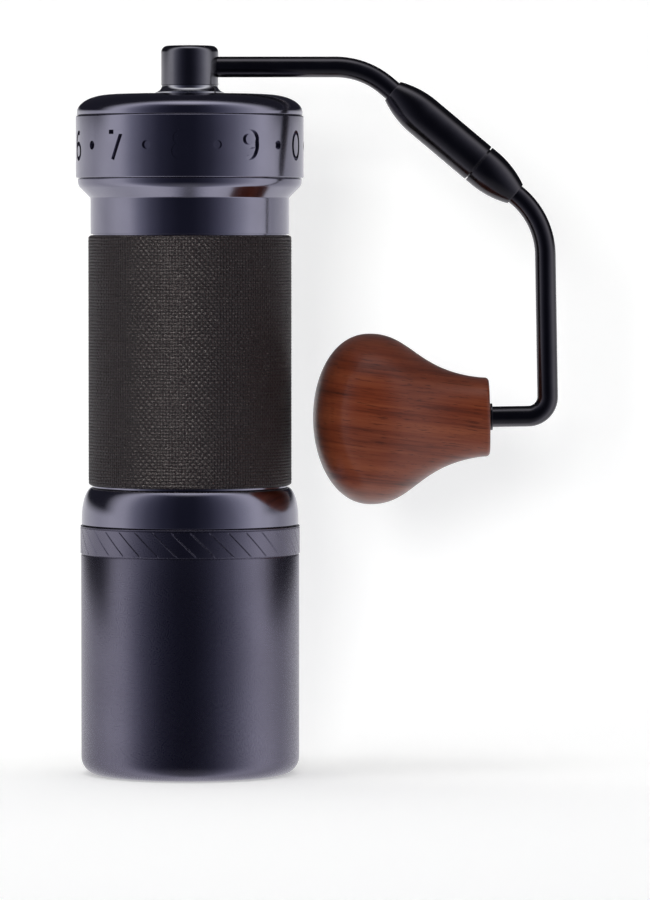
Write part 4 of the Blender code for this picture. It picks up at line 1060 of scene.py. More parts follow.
@dataclass
class GrinderBody:
    """The body tube with its grip sleeve, and the burr, spider and rings fixed in it."""

    bench: Bench
    foot_z: float = 65.18
    top_z: float = 155.48
    neck_top: float = 160.8
    tube: float = 25.9
    grip_seat: float = 25.3
    foot_radius: float = 28.3
    collar: float = 29.2
    bore: float = 23.6
    neck: float = 25.4
    burr_bore: float = 24.3
    ledge_low: float = 88.0
    ledge_high: float = 91.0
    grip_inner: float = 25.6
    grip_outer: float = 26.55
    weave_depth: float = 0.11
    key_width: float = 5.0
    key_floor: float = 157.3
    clicks: int = 50
    body: str = "housing"

    def tube_section(self) -> Array:
        """The body's half section, up the outside, over the neck and down the bore."""
        shoulder = np.radians(np.linspace(0, 90, 22))
        quarter = np.stack(
            [self.grip_seat + 3.0 * np.cos(shoulder), 66.9 + 8.1 * np.sin(shoulder)], axis=1
        )
        outside = section(
            [(27.5, self.foot_z), (self.foot_radius, self.foot_z, 0.3),
             (self.foot_radius, 66.9)], closed=False,
        )
        collar = section(
            [(self.grip_seat, 140.0), (self.grip_seat, 141.0), (self.tube, 141.0, 0.12),
             (self.tube, 150.4, 0.6), (self.collar, 153.7, 2.5), (self.collar, self.top_z, 0.3),
             (28.85, self.top_z), (28.85, self.top_z - 1.0), (27.15, self.top_z - 1.0),
             (27.15, self.top_z), (self.neck, self.top_z), (self.neck, 156.2),
             (24.5, 156.2), (24.5, 157.3), (self.neck, 157.3), (self.neck, self.neck_top, 0.3),
             (self.bore, self.neck_top, 0.3), (self.bore, self.ledge_high),
             (22.4, self.ledge_high, 0.2), (22.4, self.ledge_low, 0.2),
             (self.burr_bore, self.ledge_low), (self.burr_bore, self.foot_z, 0.2),
             (24.9, self.foot_z), (24.9, 66.65), (27.5, 66.65)],
            closed=False, step=10,
        )
        return np.concatenate([outside[:-1], quarter, collar])

    def grip_shell(self) -> Shell:
        """The grip sleeve with its weave raised.

        Its outer radius is raised by the product of a cosine of the thread number round the
        grinder and one of the thread number up it, which fades out at the two edges. The edges
        are rounded off by a quarter ellipse.
        """
        heights = np.arange(1, 162) * GRIP_PITCH / 2 + GRIP_LOW
        from_edge = np.minimum(heights - GRIP_LOW, GRIP_HIGH - heights)
        angle = np.arange(2 * GRIP_THREADS) * TAU / (2 * GRIP_THREADS)
        fade = np.clip(from_edge / 1.2, 0, 1)
        weave = np.cos(angle[None, :] * GRIP_THREADS / 2)
        weave = weave * np.cos((heights - GRIP_LOW)[:, None] * math.pi / GRIP_PITCH)
        face = self.grip_outer - self.weave_depth + self.weave_depth * weave * fade[:, None]
        round_off = 1 - np.clip(from_edge / 0.9, 0, 1)
        fall = 0.28 * (1 - np.sqrt(np.clip(1 - round_off**2, 0, 1)))
        face = face - fall[:, None]
        ends = np.array(
            [(self.grip_inner, GRIP_LOW + 0.15), (self.grip_inner + 0.15, GRIP_LOW)]
        )
        tops = np.array(
            [(self.grip_inner + 0.15, GRIP_HIGH), (self.grip_inner, GRIP_HIGH - 0.15)]
        )
        count = len(angle)
        radius = np.concatenate(
            [np.repeat(ends[:, :1], count, 1), face, np.repeat(tops[:, :1], count, 1)]
        )
        height = np.concatenate([ends[:, 1], heights, tops[:, 1]])[:, None] + 0 * radius
        points = np.stack([radius * np.cos(angle), radius * np.sin(angle), height], axis=-1)
        return skin(points, True, True)

    def outer_burr(self) -> Shell:
        """The fixed burr: straight-sided teeth spiral up its cone and fade into the funnel."""

        def teeth(radius: Array, height: Array, angle: Array) -> tuple[Array, Array, Array]:
            """Adds a sawtooth wave, which leans with the height, to the radius of the cone."""
            share = np.clip((height - 71.0) / 12.5, 0, 1)
            inside = (radius < 23.0) & (height < 85.5)
            grown = radius + TOOTH_DEPTH * tooth_wave(angle, share, 1.6, 0.72) * inside
            return grown, height, angle

        levels = np.linspace(0, 1, 26)
        cone = np.stack(
            [np.interp(levels, [0, 0.67, 1], [20.6, 17.6, 17.0]), 71.0 + 12.525 * levels], axis=1
        )
        rest = section([(22.0, 87.7), (24.0, 87.7, 0.2), (24.0, 71.0, 0.2)], closed=False, step=45)
        outline = np.concatenate([cone, [(19.0, 85.6)], rest[:-1], [(24.0, 71.2), (23.8, 71.0)]])
        return turn(outline, 384, True, shape=teeth)

    def spider(self) -> tuple[Shell, list[Shell]]:
        """The lower bearing's seat, and what is joined on: its rim and three arms."""
        hub = section(
            [(6.6, 91.3, 0.2), (10.2, 91.3, 0.4), (10.2, 98.3, 0.4), (8.3, 98.3, 0.2),
             (8.3, 92.7), (6.6, 92.7, 0.2)], step=30,
        )
        rim = ring(21.7, 23.3, 91.3, 94.7, 0.3)
        return turn(hub, 120), [turn(rim, 160), spokes((9.2, -2.3, 91.5), (22.5, 2.3, 95.9))]

    def build(self) -> None:
        """Makes the body, the grip and the fixed pieces inside."""
        slots = spokes((self.bore - 1, -self.key_width / 2, self.key_floor),
                       (self.neck + 1, self.key_width / 2, self.neck_top + 1))
        notches = spokes((21.0, -1.5, 62.5), (23.0, 1.5, 64.7), around(4, 45))
        place = self.bench.place
        place("body_tube", turn(self.tube_section(), 240), self.body, Slot.ANODISED,
              ["main_body"], cut=[slots])
        place("grip_sleeve_rubber", self.grip_shell(), self.body, Slot.GRIP, ["grip_sleeve"],
              crease=180)
        place("cup_strike_ring", turn(ring(25.05, 27.35, 65.3, 66.5), 160), self.body,
              Slot.POLISHED, ["strike_ring"])
        place("outer_burr_cone", self.outer_burr(), self.body, Slot.BURR, ["outer_burr"])
        place("burr_lock_nut", turn(ring(22.0, 24.0, 63.5, 70.7, 0.25), 160), self.body,
              Slot.BARE, ["burr_lock_ring"], cut=[notches])
        hub, joined = self.spider()
        place("bearing_spider", hub, self.body, Slot.BARE, ["lower_spider"], join=joined)
        place("dial_snap_ring", open_ring(ring(24.65, 26.75, 156.35, 157.15), 8.0), self.body,
              Slot.SPRING, ["dial_retainer"])

        def notch(radius: Array, height: Array, angle: Array) -> tuple[Array, Array, Array]:
            """Lowers the ring's top by a wave, from crest to crest once for each click."""
            dip = 0.5 - 0.5 * np.cos(angle * self.clicks)
            return radius, height - 0.35 * dip * (height > 155.0), angle

        place("click_track", turn(ring(27.35, 28.65, 154.45, 155.15, 0.05), 500, shape=notch),
              self.body, Slot.SPRING, ["click_ring"])


@dataclass(frozen=True)
class Stroke:
    """One stroke of a digit: part of an ellipse, or a line between two points.

    Sizes are shares of the digit's half width and half height, from its centre.
    """

    start: tuple[float, float]
    end: tuple[float, float]
    angles: Optional[tuple[float, float]] = None

    def centreline(self, half_width: float, half_height: float) -> Array:
        """Points along the stroke.

        With angles, start is the ellipse's centre and end is its two radii.
        """
        size = np.array([half_width, half_height])
        if self.angles is None:
            share = np.linspace(0, 1, 9)[:, None]
            return size * ((1 - share) * np.array(self.start) + share * np.array(self.end))
        first, last = self.angles
        angle = np.radians(np.linspace(first, last, int(abs(last - first) / 6) + 1))
        ring_points = np.stack([np.cos(angle), np.sin(angle)], axis=1)
        return size * (np.array(self.start) + np.array(self.end) * ring_points)

    @property
    def closed(self) -> bool:
        """Whether the stroke is a whole ellipse."""
        return self.angles is not None and abs(self.angles[1] - self.angles[0]) >= 360


DIGITS: dict[int, list[Stroke]] = {
    0: [Stroke((0, 0), (0.84, 0.9), (0, 360))],
    1: [Stroke((0.1, -1), (0.1, 1)), Stroke((-0.5, 0.62), (0.12, 0.93))],
    2: [Stroke((0, 0.42), (0.8, 0.48), (165, -28)), Stroke((0.73, 0.22), (-0.82, -0.9)),
        Stroke((-0.95, -0.88), (0.9, -0.88))],
    3: [Stroke((-0.05, 0.45), (0.76, 0.45), (160, -90)),
        Stroke((-0.05, -0.43), (0.86, 0.47), (92, -160))],
    4: [Stroke((0.4, -1), (0.4, 1)), Stroke((0.38, 0.94), (-0.82, -0.48)),
        Stroke((-0.92, -0.46), (0.95, -0.46))],
    5: [Stroke((-0.05, -0.32), (0.88, 0.58), (130, -150)), Stroke((-0.62, 0.06), (-0.5, 1.0)),
        Stroke((-0.58, 0.89), (0.72, 0.89))],
    6: [Stroke((0, -0.38), (0.82, 0.52), (0, 360)), Stroke((0.12, 0.0), (0.94, 0.9), (65, 203))],
    7: [Stroke((0.86, 0.95), (-0.36, -1)), Stroke((-0.9, 0.89), (0.93, 0.89))],
    8: [Stroke((0, 0.46), (0.7, 0.43), (0, 360)), Stroke((0, -0.43), (0.86, 0.47), (0, 360))],
    9: [Stroke((0, 0.38), (0.82, 0.52), (0, 360)), Stroke((-0.12, 0.0), (0.94, 0.9), (245, 383))],
}


@dataclass
class GrindDial:
    """The dial ring with its engraved numbers and dots."""

    bench: Bench
    low: float = 155.6
    high: float = 171.78
    radius: float = 29.7
    bore: float = 26.0
    number_z: float = 163.9
    number_half_width: float = 3.0
    number_half_height: float = 4.3
    stroke_half: float = 0.55
    depth: float = 0.85
    dot_radius: float = 1.15
    front: float = -92.8  # angle of the number 8, where the setting is read
    ball_circle: float = 28.0
    ball_radius: float = 0.8
    ball_angles: tuple[float, float] = (20.0, 200.0)
    spring_low: float = 157.15
    spring_high: float = 160.45
    body: str = "dial"

    def cutter(self, line: Array, half: float, closed: bool, degrees: float) -> Shell:
        """A groove cutter: a rectangle carried along a stroke that is wrapped round the dial.

        A place across the stroke is the centreline plus the half width times its normal. The
        distance along the dial over its radius is the angle, and the rectangle's depth is radial.

        Args:
            line: the centreline, laid flat from the number's centre.
            half: half the groove's width.
            closed: whether the stroke is a loop.
            degrees: the number's angle on the dial.

        Returns:
            The surface.
        """
        ahead = np.roll(line, -1, 0) - np.roll(line, 1, 0) if closed else np.gradient(line, axis=0)
        normal = np.stack([ahead[:, 1], -ahead[:, 0]], axis=1)
        normal /= np.linalg.norm(normal, axis=1, keepdims=True)
        flat = np.stack([line - half * normal, line + half * normal] * 2, axis=1)[:, [0, 1, 3, 2]]
        reach = np.repeat([[self.radius + 1, self.radius + 1, self.radius - self.depth,
                            self.radius - self.depth]], len(line), axis=0)
        if not closed:
            flat = np.concatenate([flat[:1].mean(1, keepdims=True).repeat(4, 1), flat,
                                   flat[-1:].mean(1, keepdims=True).repeat(4, 1)])
            reach = np.concatenate([reach[:1] * 0 + reach.mean(), reach,
                                    reach[:1] * 0 + reach.mean()])
        angle = math.radians(degrees) + flat[..., 0] / self.radius
        points = np.stack(
            [reach * np.cos(angle), reach * np.sin(angle), self.number_z + flat[..., 1]], axis=-1
        )
        return skin(points, closed, True)

    def dot(self, degrees: float) -> Shell:
        """A dot's cutter: a short round bar that points at the axis."""
        outward = on_circle(1.0, degrees)
        start = np.array(outward) * (self.radius - self.depth) + (0, 0, self.number_z)
        side = np.array([-outward[1], outward[0], 0.0])
        path = start + np.arange(3)[:, None] * np.array(outward)
        return tube(path, np.full(3, self.dot_radius), np.repeat(side[None], 3, axis=0), 48)

    def build(self) -> None:
        """Makes the dial, cuts its numbers and dots, and adds the click balls."""
        outline = section(
            [(self.bore, self.low), (self.radius, self.low, 0.35), (self.radius, self.high, 0.35),
             (self.bore, self.high, 0.25), (self.bore, 157.45), (26.9, 157.45), (26.9, 156.3),
             (self.bore, 156.3)], step=15,
        )
        cutters: dict[int, list[Shell]] = {}
        for number, strokes in DIGITS.items():
            degrees = self.front + 36.0 * ((number - 8) % 10)
            for order, stroke in enumerate(strokes):
                line = stroke.centreline(
                    self.number_half_width - self.stroke_half,
                    self.number_half_height - self.stroke_half,
                )
                if stroke.closed:
                    line = line[:-1]
                cutters.setdefault(order, []).append(
                    self.cutter(line, self.stroke_half, stroke.closed, degrees)
                )
            cutters.setdefault(0, []).append(self.dot(degrees + 18.0))
        pockets = [
            turn(section([(0, self.low - 1), (self.ball_radius + SEAT, self.low - 1),
                          (self.ball_radius + SEAT, self.spring_high + SEAT),
                          (0, self.spring_high + SEAT)],
                         closed=False),
                 24, False, Placement(on_circle(self.ball_circle, degrees)))
            for degrees in self.ball_angles
        ]
        cutters[1] += pockets
        self.bench.place("dial_ring_numbered", turn(outline, 720), self.body, Slot.ANODISED,
                         ["dial_ring"], cut=[merge(shells) for shells in cutters.values()],
                         crease=30)
        for letter, degrees in zip("ab", self.ball_angles):
            centre = on_circle(self.ball_circle, degrees, self.spring_low - SEAT - self.ball_radius)
            self.bench.place(f"dial_ball_{letter}", ball(self.ball_radius, centre), self.body,
                             Slot.POLISHED, [f"click_ball_{letter}"])
            spring = coil(0.5, 0.12, self.spring_low, self.spring_high, 4,
                          on_circle(self.ball_circle, degrees))
            self.bench.place(f"dial_ball_spring_{letter}", spring, self.body, Slot.SPRING,
                             [f"click_spring_{letter}"], crease=60)


@dataclass
class BallBearing:
    """A deep groove ball bearing: two grooved races, a pressed cage and its balls."""

    bench: Bench
    name: str
    outer: float
    bore: float
    low: float
    width: float
    bodies: tuple[str, str, str]  # of the outer race, the inner race and the cage

    def build(self) -> None:
        """Makes the races with their ball grooves, and the caged balls."""
        wall = self.outer - self.bore
        race = 0.27 * wall
        middle = (self.outer + self.bore) / 2
        size = wall / 2 - race - SEAT
        centre = self.low + self.width / 2
        high = self.low + self.width
        groove = np.radians(np.linspace(-55, 55, 11))
        bowl = size * 1.04
        dip = bowl * (np.cos(groove) - math.cos(math.radians(55)))
        heights = centre + bowl * np.sin(groove)
        for part, edge, sign, body in (
            ("outer", self.outer - race, 1, self.bodies[0]),
            ("inner", self.bore + race, -1, self.bodies[1]),
        ):
            far = self.outer if sign > 0 else self.bore
            track = np.stack([edge + sign * np.minimum(dip, race * 0.5), heights], axis=1)
            backs = section(
                [(edge, heights[0]), (edge, self.low, 0.15), (far, self.low, 0.3),
                 (far, high, 0.3), (edge, high, 0.15), (edge, heights[-1])], closed=False, step=30,
            )
            outline = np.concatenate([track[::-1], backs[1:-1]])
            self.bench.place(
                f"{self.name}_{part}_race", turn(outline, 120), body, Slot.POLISHED,
                [f"{self.name}_{part}"],
            )
        balls = merge([ball(size, on_circle(middle, angle, centre)) for angle in around(6)])
        cage = ring(middle - 0.42 * size, middle + 0.42 * size, centre - 0.5 * size,
                    centre + 0.5 * size, 0.1)
        self.bench.place(
            f"{self.name}_ball_set", turn(cage, 96), self.bodies[2], Slot.SPRING,
            [f"{self.name}_balls"], join=[balls],
        )


@dataclass
class DriveTrain:
    """The keyed carrier, the drive shaft and what turns on it."""

    bench: Bench
    flats: float = 5.8
    nut_flats: float = 10.0

    def carrier(self) -> tuple[Shell, list[Shell]]:
        """The upper bearing's seat, and what is joined on: threaded ring, arms and keys."""
        hub = section(
            [(9.6, 157.9, 0.2), (13.2, 157.9, 0.5), (13.2, 168.85, 0.4), (11.3, 168.85, 0.2),
             (11.3, 167.95), (12.2, 167.95), (12.2, 166.75), (11.3, 166.75), (11.3, 159.3),
             (9.6, 159.3, 0.2)], step=30,
        )
        crests = np.arange(162.7, 166.2, 0.5)
        thread = [(25.7 - 0.25 * (index % 2), z) for index, z in
                  enumerate(np.repeat(crests, 2) + np.tile([0, 0.25], len(crests)))]
        outline = np.array([(24.0, 162.5), (25.5, 162.5), *thread, (25.5, 166.5), (24.0, 166.5)])
        arms = spokes((12.3, -2.3, 162.6), (24.8, 2.3, 166.4))
        keys = spokes((23.9, -2.2, 159.0), (25.1, 2.2, 163.0))
        return turn(hub, 120), [turn(outline, 160), arms, keys]

    def shaft(self) -> Shell:
        """The shaft: round up to its clip, and six-sided above it."""
        outline = section(
            [(0, 65.9), (4.0, 65.9, 0.3), (4.0, 100.9), (5.0, 100.9, 0.2), (5.0, 159.3, 0.2),
             (4.0, 159.3), (4.0, 166.75), (3.5, 166.75), (3.5, 167.95), (4.0, 167.95),
             (4.0, 168.65, 0.2), (3.35, 168.65), (3.35, 168.7), (3.35, 177.7), (2.8, 178.25),
             (0, 178.25)], closed=False, step=30,
        )

        def flatten(radius: Array, height: Array, angle: Array) -> tuple[Array, Array, Array]:
            """Cuts the part above the round shaft down to a hexagon."""
            cut = np.minimum(radius, hexagon(angle, self.flats))
            return np.where(height > 168.66, cut, radius), height, angle

        return turn(outline, 96, False, shape=flatten)

    def nut(self) -> Shell:
        """The nut: its outer radius is the least of the hexagon's and its chamfer's."""
        outline = section(
            [(SHAFT_FIT, 66.4, 0.2), (5.1, 66.4), (5.78, 66.8), (5.78, 69.6), (5.1, 70.0),
             (SHAFT_FIT, 70.0, 0.2)], step=45,
        )

        def flatten(radius: Array, height: Array, angle: Array) -> tuple[Array, Array, Array]:
            """Cuts all but the bore down to a hexagon."""
            cut = np.minimum(radius, hexagon(angle, self.nut_flats))
            return np.where(radius > 4.6, cut, radius), height, angle

        return turn(outline, 144, shape=flatten)

    def inner_burr(self) -> Shell:
        """The turning burr: coarse teeth spiral up its cone."""
        slope = 3.0 / 8.35
        foot = 19.6 - slope * 0.4
        knee = 19.6 - slope * 7.515
        levels = np.linspace(0, 1, 30)
        face = np.stack(
            [np.interp(levels, [0, 0.542, 1], [foot, knee, 7.5]), 71.4 + 13.1 * levels], axis=1
        )

        def teeth(radius: Array, height: Array, angle: Array) -> tuple[Array, Array, Array]:
            """Takes a sawtooth wave, which leans with the height, from the radius of the cone."""
            share = np.clip((height - 71.4) / 13.1, 0, 1)
            outside = radius > 6
            ground = radius - TOOTH_DEPTH * tooth_wave(angle, share, -2.2, 0.3) * outside
            return ground, height, angle

        outline = np.concatenate([face, [(SHAFT_FIT, 84.5), (SHAFT_FIT, 71.4)]])
        return turn(outline, 384, shape=teeth)

    def build(self) -> None:
        """Makes the carrier, the shaft, the burr and their small pieces."""
        place = self.bench.place
        hub, joined = self.carrier()
        place("keyed_carrier", hub, "bearing_carrier", Slot.BARE, ["bearing_carrier"], join=joined)
        place("upper_circlip", open_ring(ring(9.4, 12.05, 166.9, 167.8, 0.1), 4.0),
              "bearing_carrier", Slot.SPRING, ["bearing_clip"])
        place("shaft_bar", self.shaft(), "drive_shaft", Slot.SPRING, ["drive_shaft"])
        place("inner_burr_cone", self.inner_burr(), "drive_shaft", Slot.BURR, ["inner_burr"])
        place("burr_washer_disc", turn(ring(SHAFT_FIT, 8.5, 70.3, 71.1), 96), "drive_shaft",
              Slot.POLISHED, ["burr_washer"])
        place("burr_hex_nut", self.nut(), "drive_shaft", Slot.POLISHED, ["burr_nut"])
        place("shaft_circlip", open_ring(ring(3.65, 5.8, 166.9, 167.8, 0.1), 2.0), "drive_shaft",
              Slot.SPRING, ["shaft_clip"])
        # The preload spring shortens as the carrier rises: its foot stands on the inner burr.
        low, high = 84.8, 92.7
        spring = place("preload_coil", coil(5.3, 0.5, low, high, 4.5, (0, 0, 0)), "", Slot.SPRING,
                       ["preload_spring"], crease=60)
        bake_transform(spring)
        BallBearing(self.bench, "upper_bearing", 11.0, SHAFT_FIT, 159.6, 7.0,
                    ("bearing_carrier", "drive_shaft", "upper_cage")).build()
        BallBearing(self.bench, "lower_bearing", 8.0, SHAFT_FIT, 93.0, 5.0,
                    ("housing", "lower_race", "lower_cage")).build()


@dataclass
class Lid:
    """The domed lid with its centre bush and its seal."""

    bench: Bench
    low: float = 171.9
    high: float = 177.3
    radius: float = 29.4
    rim: float = 0.8
    shoulder: float = 9.0
    body: str = "lid"

    def build(self) -> None:
        """Makes the lid: its shoulder is a quarter ellipse from the rim to the flat top."""
        angle = np.radians(np.linspace(0, 90, 28))
        dome = np.stack(
            [self.radius - self.shoulder + self.shoulder * np.cos(angle),
             self.low + self.rim + (self.high - self.low - self.rim) * np.sin(angle)], axis=1
        )
        foot = section([(27.0, self.low), (self.radius, self.low, 0.25),
                        (self.radius, self.low + self.rim)], closed=False)
        inside = section(
            [(8.0, self.high), (7.5, self.high, 0.15), (7.5, 175.3, 0.15), (24.2, 175.3, 0.6),
             (24.2, 168.9, 0.2), (25.7, 168.9, 0.3), (25.7, 169.75), (24.9, 169.75),
             (24.9, 171.05), (25.7, 171.05), (25.7, self.low), (27.0, self.low)],
            closed=False, step=20,
        )
        place = self.bench.place
        place("lid_dome", turn(np.concatenate([foot[:-1], dome, inside[:-1]]), 240), self.body,
              Slot.ANODISED, ["lid_shell"])
        bush = section(
            [(5.8, 174.0, 0.2), (9.0, 174.0, 0.2), (9.0, 175.0), (7.2, 175.0), (7.2, 177.3, 0.2),
             (5.8, 177.3, 0.2)], step=30,
        )
        place("lid_bush_sleeve", turn(bush, 96), self.body, Slot.BRONZE, ["lid_bush"])
        place("lid_seal_ring", turn(ring(25.05, 25.85, 169.9, 170.9, 0.35), 200), self.body,
              Slot.SILICONE, ["lid_seal"])


@dataclass
class Crank:
    """The hub, its flared washer, the upper arm, the folding sleeve and the lower arm."""

    bench: Bench
    rod: float = 2.7
    axis_z: float = 184.5
    start: float = 1.5
    straight: float = 36.5
    slope: float = 40.0
    bend_radius: float = 20.4
    stand_off: float = 2.35
    sleeve_radius: float = 5.44
    tip_radius: float = 3.15
    taper: float = 10.4
    upper_length: float = 29.1
    lower_length: float = 12.3
    lip: float = 0.9  # the upper half's lip, which runs in a sink in the lower half's end
    socket_bore: float = 3.2  # from the axis to a flat of the hub's six-sided socket

    def sleeve_place(self) -> Placement:
        """The folding sleeve's axis, from its upper tip."""
        path = rod_path((self.start, self.axis_z), 0.0,
                        [(self.straight, self.slope, self.bend_radius), (self.stand_off, 0, 0)])
        angle = math.radians(self.slope)
        return Placement(tuple(path[-1]), (math.cos(angle), 0.0, -math.sin(angle)))

    def lower_path(self, first: float, last: float, start: Placement) -> Array:
        """The lower arm's centreline.

        Args:
            first: the straight length before its first bend.
            last: the straight length after its corner.
            start: where it starts.

        Returns:
            Points of shape (stations, 3).
        """
        return rod_path((start.origin[0], start.origin[2]), self.slope,
                        [(first, 49.0, self.bend_radius), (37.0, 90.0, 5.1), (last, 0, 0)])

    def knob_place(self) -> Placement:
        """The knob's axis, from the centre of its face."""
        end = self.sleeve_place().ahead(self.upper_length + GAP + self.lower_length)
        path = self.lower_path(0.8, 10.2, end)
        ahead = path[-1] - path[-2]
        return Placement(tuple(path[-1]), tuple(ahead / np.linalg.norm(ahead)))

    def taper_arc(self, length: float) -> Array:
        """A sleeve half's taper: the arc tangent to its full radius that ends at the tip's.

        Args:
            length: the height at which it ends.

        Returns:
            Points (radius, height), from the full radius to the tip.
        """
        fall = self.sleeve_radius - self.tip_radius
        bow = (self.taper**2 + fall**2) / (2 * fall)
        angle = np.linspace(0, math.asin(self.taper / bow), 24)
        return np.stack([self.sleeve_radius - bow * (1 - np.cos(angle)),
                         length - self.taper + bow * np.sin(angle)], axis=1)

    def sleeve_halves(self) -> tuple[Shell, Shell]:
        """The upper and lower halves of the sleeve, bored for the rods and the fold pin."""
        place = self.sleeve_place()
        arc = self.taper_arc(self.upper_length)[::-1]
        arc[:, 1] = self.upper_length - arc[:, 1]
        tip = section([(0, 7.3), (2.85, 7.3), (2.85, 0, 0.1), (self.tip_radius, 0, 0.12),
                       tuple(arc[1])], closed=False, step=30)
        lip = self.upper_length + self.lip
        end = section([tuple(arc[-1]), (self.sleeve_radius, self.upper_length, 0.22),
                       (4.6, self.upper_length), (4.6, lip), (3.9, lip), (3.9, 14.1), (0, 14.1)],
                      closed=False)
        upper = turn(np.concatenate([tip[:-1], arc[1:-1], end]), 96, False, place)
        arc = self.taper_arc(self.lower_length)
        sink = self.lip - GAP + 0.12
        head = section([(0, 5.75), (1.95, 5.75), (1.95, sink), (4.75, sink), (4.75, 0),
                        (self.sleeve_radius, 0, 0.22), tuple(arc[1])], closed=False)
        foot = section([tuple(arc[-2]), (self.tip_radius, self.lower_length, 0.12),
                        (2.85, self.lower_length, 0.1), (2.85, self.lower_length - 5.3),
                        (0, self.lower_length - 5.3)], closed=False, step=30)
        lower = turn(np.concatenate([head[:-1], arc[1:-1], foot[1:]]), 96, False,
                     place.ahead(self.upper_length + GAP))
        return upper, lower

    def hub(self) -> Shell:
        """The hub with its stem: the socket's rows take the hexagon's radius."""
        outline = section(
            [(0, 180.4), (self.socket_bore, 180.4), (self.socket_bore, 171.0, 0.2),
             (5.5, 171.0, 0.3), (5.5, 172.35),
             (4.9, 172.35), (4.9, 173.55), (5.5, 173.55), (5.5, 179.66), (7.45, 179.66, 0.15),
             (7.45, 190.0, 1.7), (0, 190.0)], closed=False, step=10,
        )

        def socket(radius: Array, height: Array, angle: Array) -> tuple[Array, Array, Array]:
            """Widens the bore, where it isn't the pole, to a hexagon about it."""
            wall = hexagon(angle, 2 * self.socket_bore) + radius - self.socket_bore
            inside = (radius < 3.5) & (height < 181.0) & (radius > 0.1)
            return np.where(inside, wall, radius), height, angle

        return turn(outline, 144, False, shape=socket)

    def build(self) -> None:
        """Makes the crank from its hub to the end of the lower arm."""
        place = self.bench.place
        place("hub_barrel", self.hub(), "crank", Slot.HUB, ["crank_hub"])
        angle = np.radians(np.linspace(-108, -180, 18))
        flare = np.stack([9.4 + 2.1 * np.cos(angle), 179.6 + 1.7 * np.sin(angle)], axis=1)
        washer = np.concatenate(
            [section([(7.0, 177.42), (8.9, 177.42, 0.12), (8.9, 177.95)], closed=False), flare[1:],
             section([(7.0, 179.6), (5.8, 179.6, 0.1), (5.8, 177.42, 0.1), (7.0, 177.42)],
                     closed=False)[:-1]]
        )
        place("hub_flared_washer", turn(washer, 144), "crank", Slot.POLISHED, ["hub_washer"])
        place("hub_circlip", open_ring(ring(5.05, 7.6, 172.5, 173.4, 0.1), 3.0), "crank",
              Slot.SPRING, ["hub_clip"])
        legs = [(self.straight, self.slope, self.bend_radius), (self.stand_off + 7.0, 0, 0)]
        place("upper_arm_rod", bar(rod_path((self.start, self.axis_z), 0.0, legs), self.rod),
              "crank", Slot.BLACK, ["upper_arm"])
        upper, lower = self.sleeve_halves()
        place("sleeve_upper_half", upper, "crank", Slot.BLACK, ["sleeve_upper"])
        place("sleeve_lower_half", lower, "folding_arm", Slot.BLACK, ["sleeve_lower"])
        sleeve = self.sleeve_place()
        first = sleeve.ahead(self.upper_length + GAP + self.lower_length - 5.0)
        place("lower_arm_rod", bar(self.lower_path(5.8, 42.2, first), self.rod), "folding_arm",
              Slot.BLACK, ["lower_arm"])
        bush = turn(ring(1.95, 3.75, 24.6, 29.1), 48, True, sleeve)
        place("fold_bush_sleeve", bush, "crank", Slot.BRONZE, ["fold_bush"])
        pin = section([(0, 14.4), (3.2, 14.4, 0.3), (3.2, 15.8, 0.1), (1.8, 15.8), (1.8, 35.0, 0.2),
                       (0, 35.0)], closed=False)
        place("fold_pivot_pin", turn(pin, 48, False, sleeve), "folding_arm", Slot.SPRING,
              ["fold_pin"])
        spring = coil(2.45, 0.35, 16.1, 24.3, 5, (0, 0, 0))
        spring.points = sleeve.put(spring.points)
        place("fold_pin_spring", spring, "crank", Slot.SPRING, ["fold_spring"], crease=60)


@dataclass
class Knob:
    """The turned wooden knob, with its bush, washer and clip."""

    bench: Bench
    place_at: Placement
    length: float = 46.1
    face: float = 10.3
    widest: float = 22.3
    swell: float = 31.1
    roundness: float = 2.15
    fillet: float = 1.3

    def outline(self) -> Array:
        """The knob's half section.

        Its neck is a cubic curve from the face's edge to the swell. Its end is the widest
        radius times the root of one less the share of the end raised to the roundness.
        """
        share = np.linspace(0, 1, 40)[:, None]
        hold = np.array([(self.face, self.fillet), (self.face + 1.7, 0.61 * self.swell),
                         (self.widest, 0.64 * self.swell), (self.widest, self.swell)])
        left = 1 - share
        neck = (hold[0] * left**3 + hold[1] * 3 * share * left**2
                + hold[2] * 3 * share**2 * left + hold[3] * share**3)
        end = np.sin(np.linspace(0, math.pi / 2, 40))[1:]
        radius = self.widest * np.sqrt(np.clip(1 - end**self.roundness, 0, 1))
        cap = np.stack([radius, self.swell + (self.length - self.swell) * end], axis=1)
        corner = section([(5.0, 0.0), (self.face - 0.05, 0.0, 1.1), tuple(neck[1])], closed=False)
        return np.concatenate(
            [[(0, 33.0), (4.35, 33.0), (4.35, 0.2), (4.55, 0.0)], corner[:-1], neck[1:], cap]
        )

    def build(self) -> None:
        """Makes the knob and its small pieces."""
        place = self.bench.place
        outline = self.outline()
        outline[-1, 0] = 0
        place("knob_turning", turn(outline, 128, False, self.place_at), "knob", Slot.WOOD, ["knob"],
              crease=50)
        place("knob_bush_sleeve", turn(ring(3.0, 4.2, 0.4, 26.4), 64, True, self.place_at), "knob",
              Slot.BRONZE, ["knob_bush"])
        washer = turn(ring(2.82, 3.5, -0.8, -SEAT, 0.1), 64, True, self.place_at)
        place("knob_thrust_washer", washer, "folding_arm", Slot.BLACK, ["knob_washer"])
        place("knob_circlip", open_ring(ring(2.85, 3.9, 26.7, 27.6, 0.1), 1.5, self.place_at),
              "folding_arm", Slot.SPRING, ["knob_clip"])


# ---------------------------------------------------------------- studio


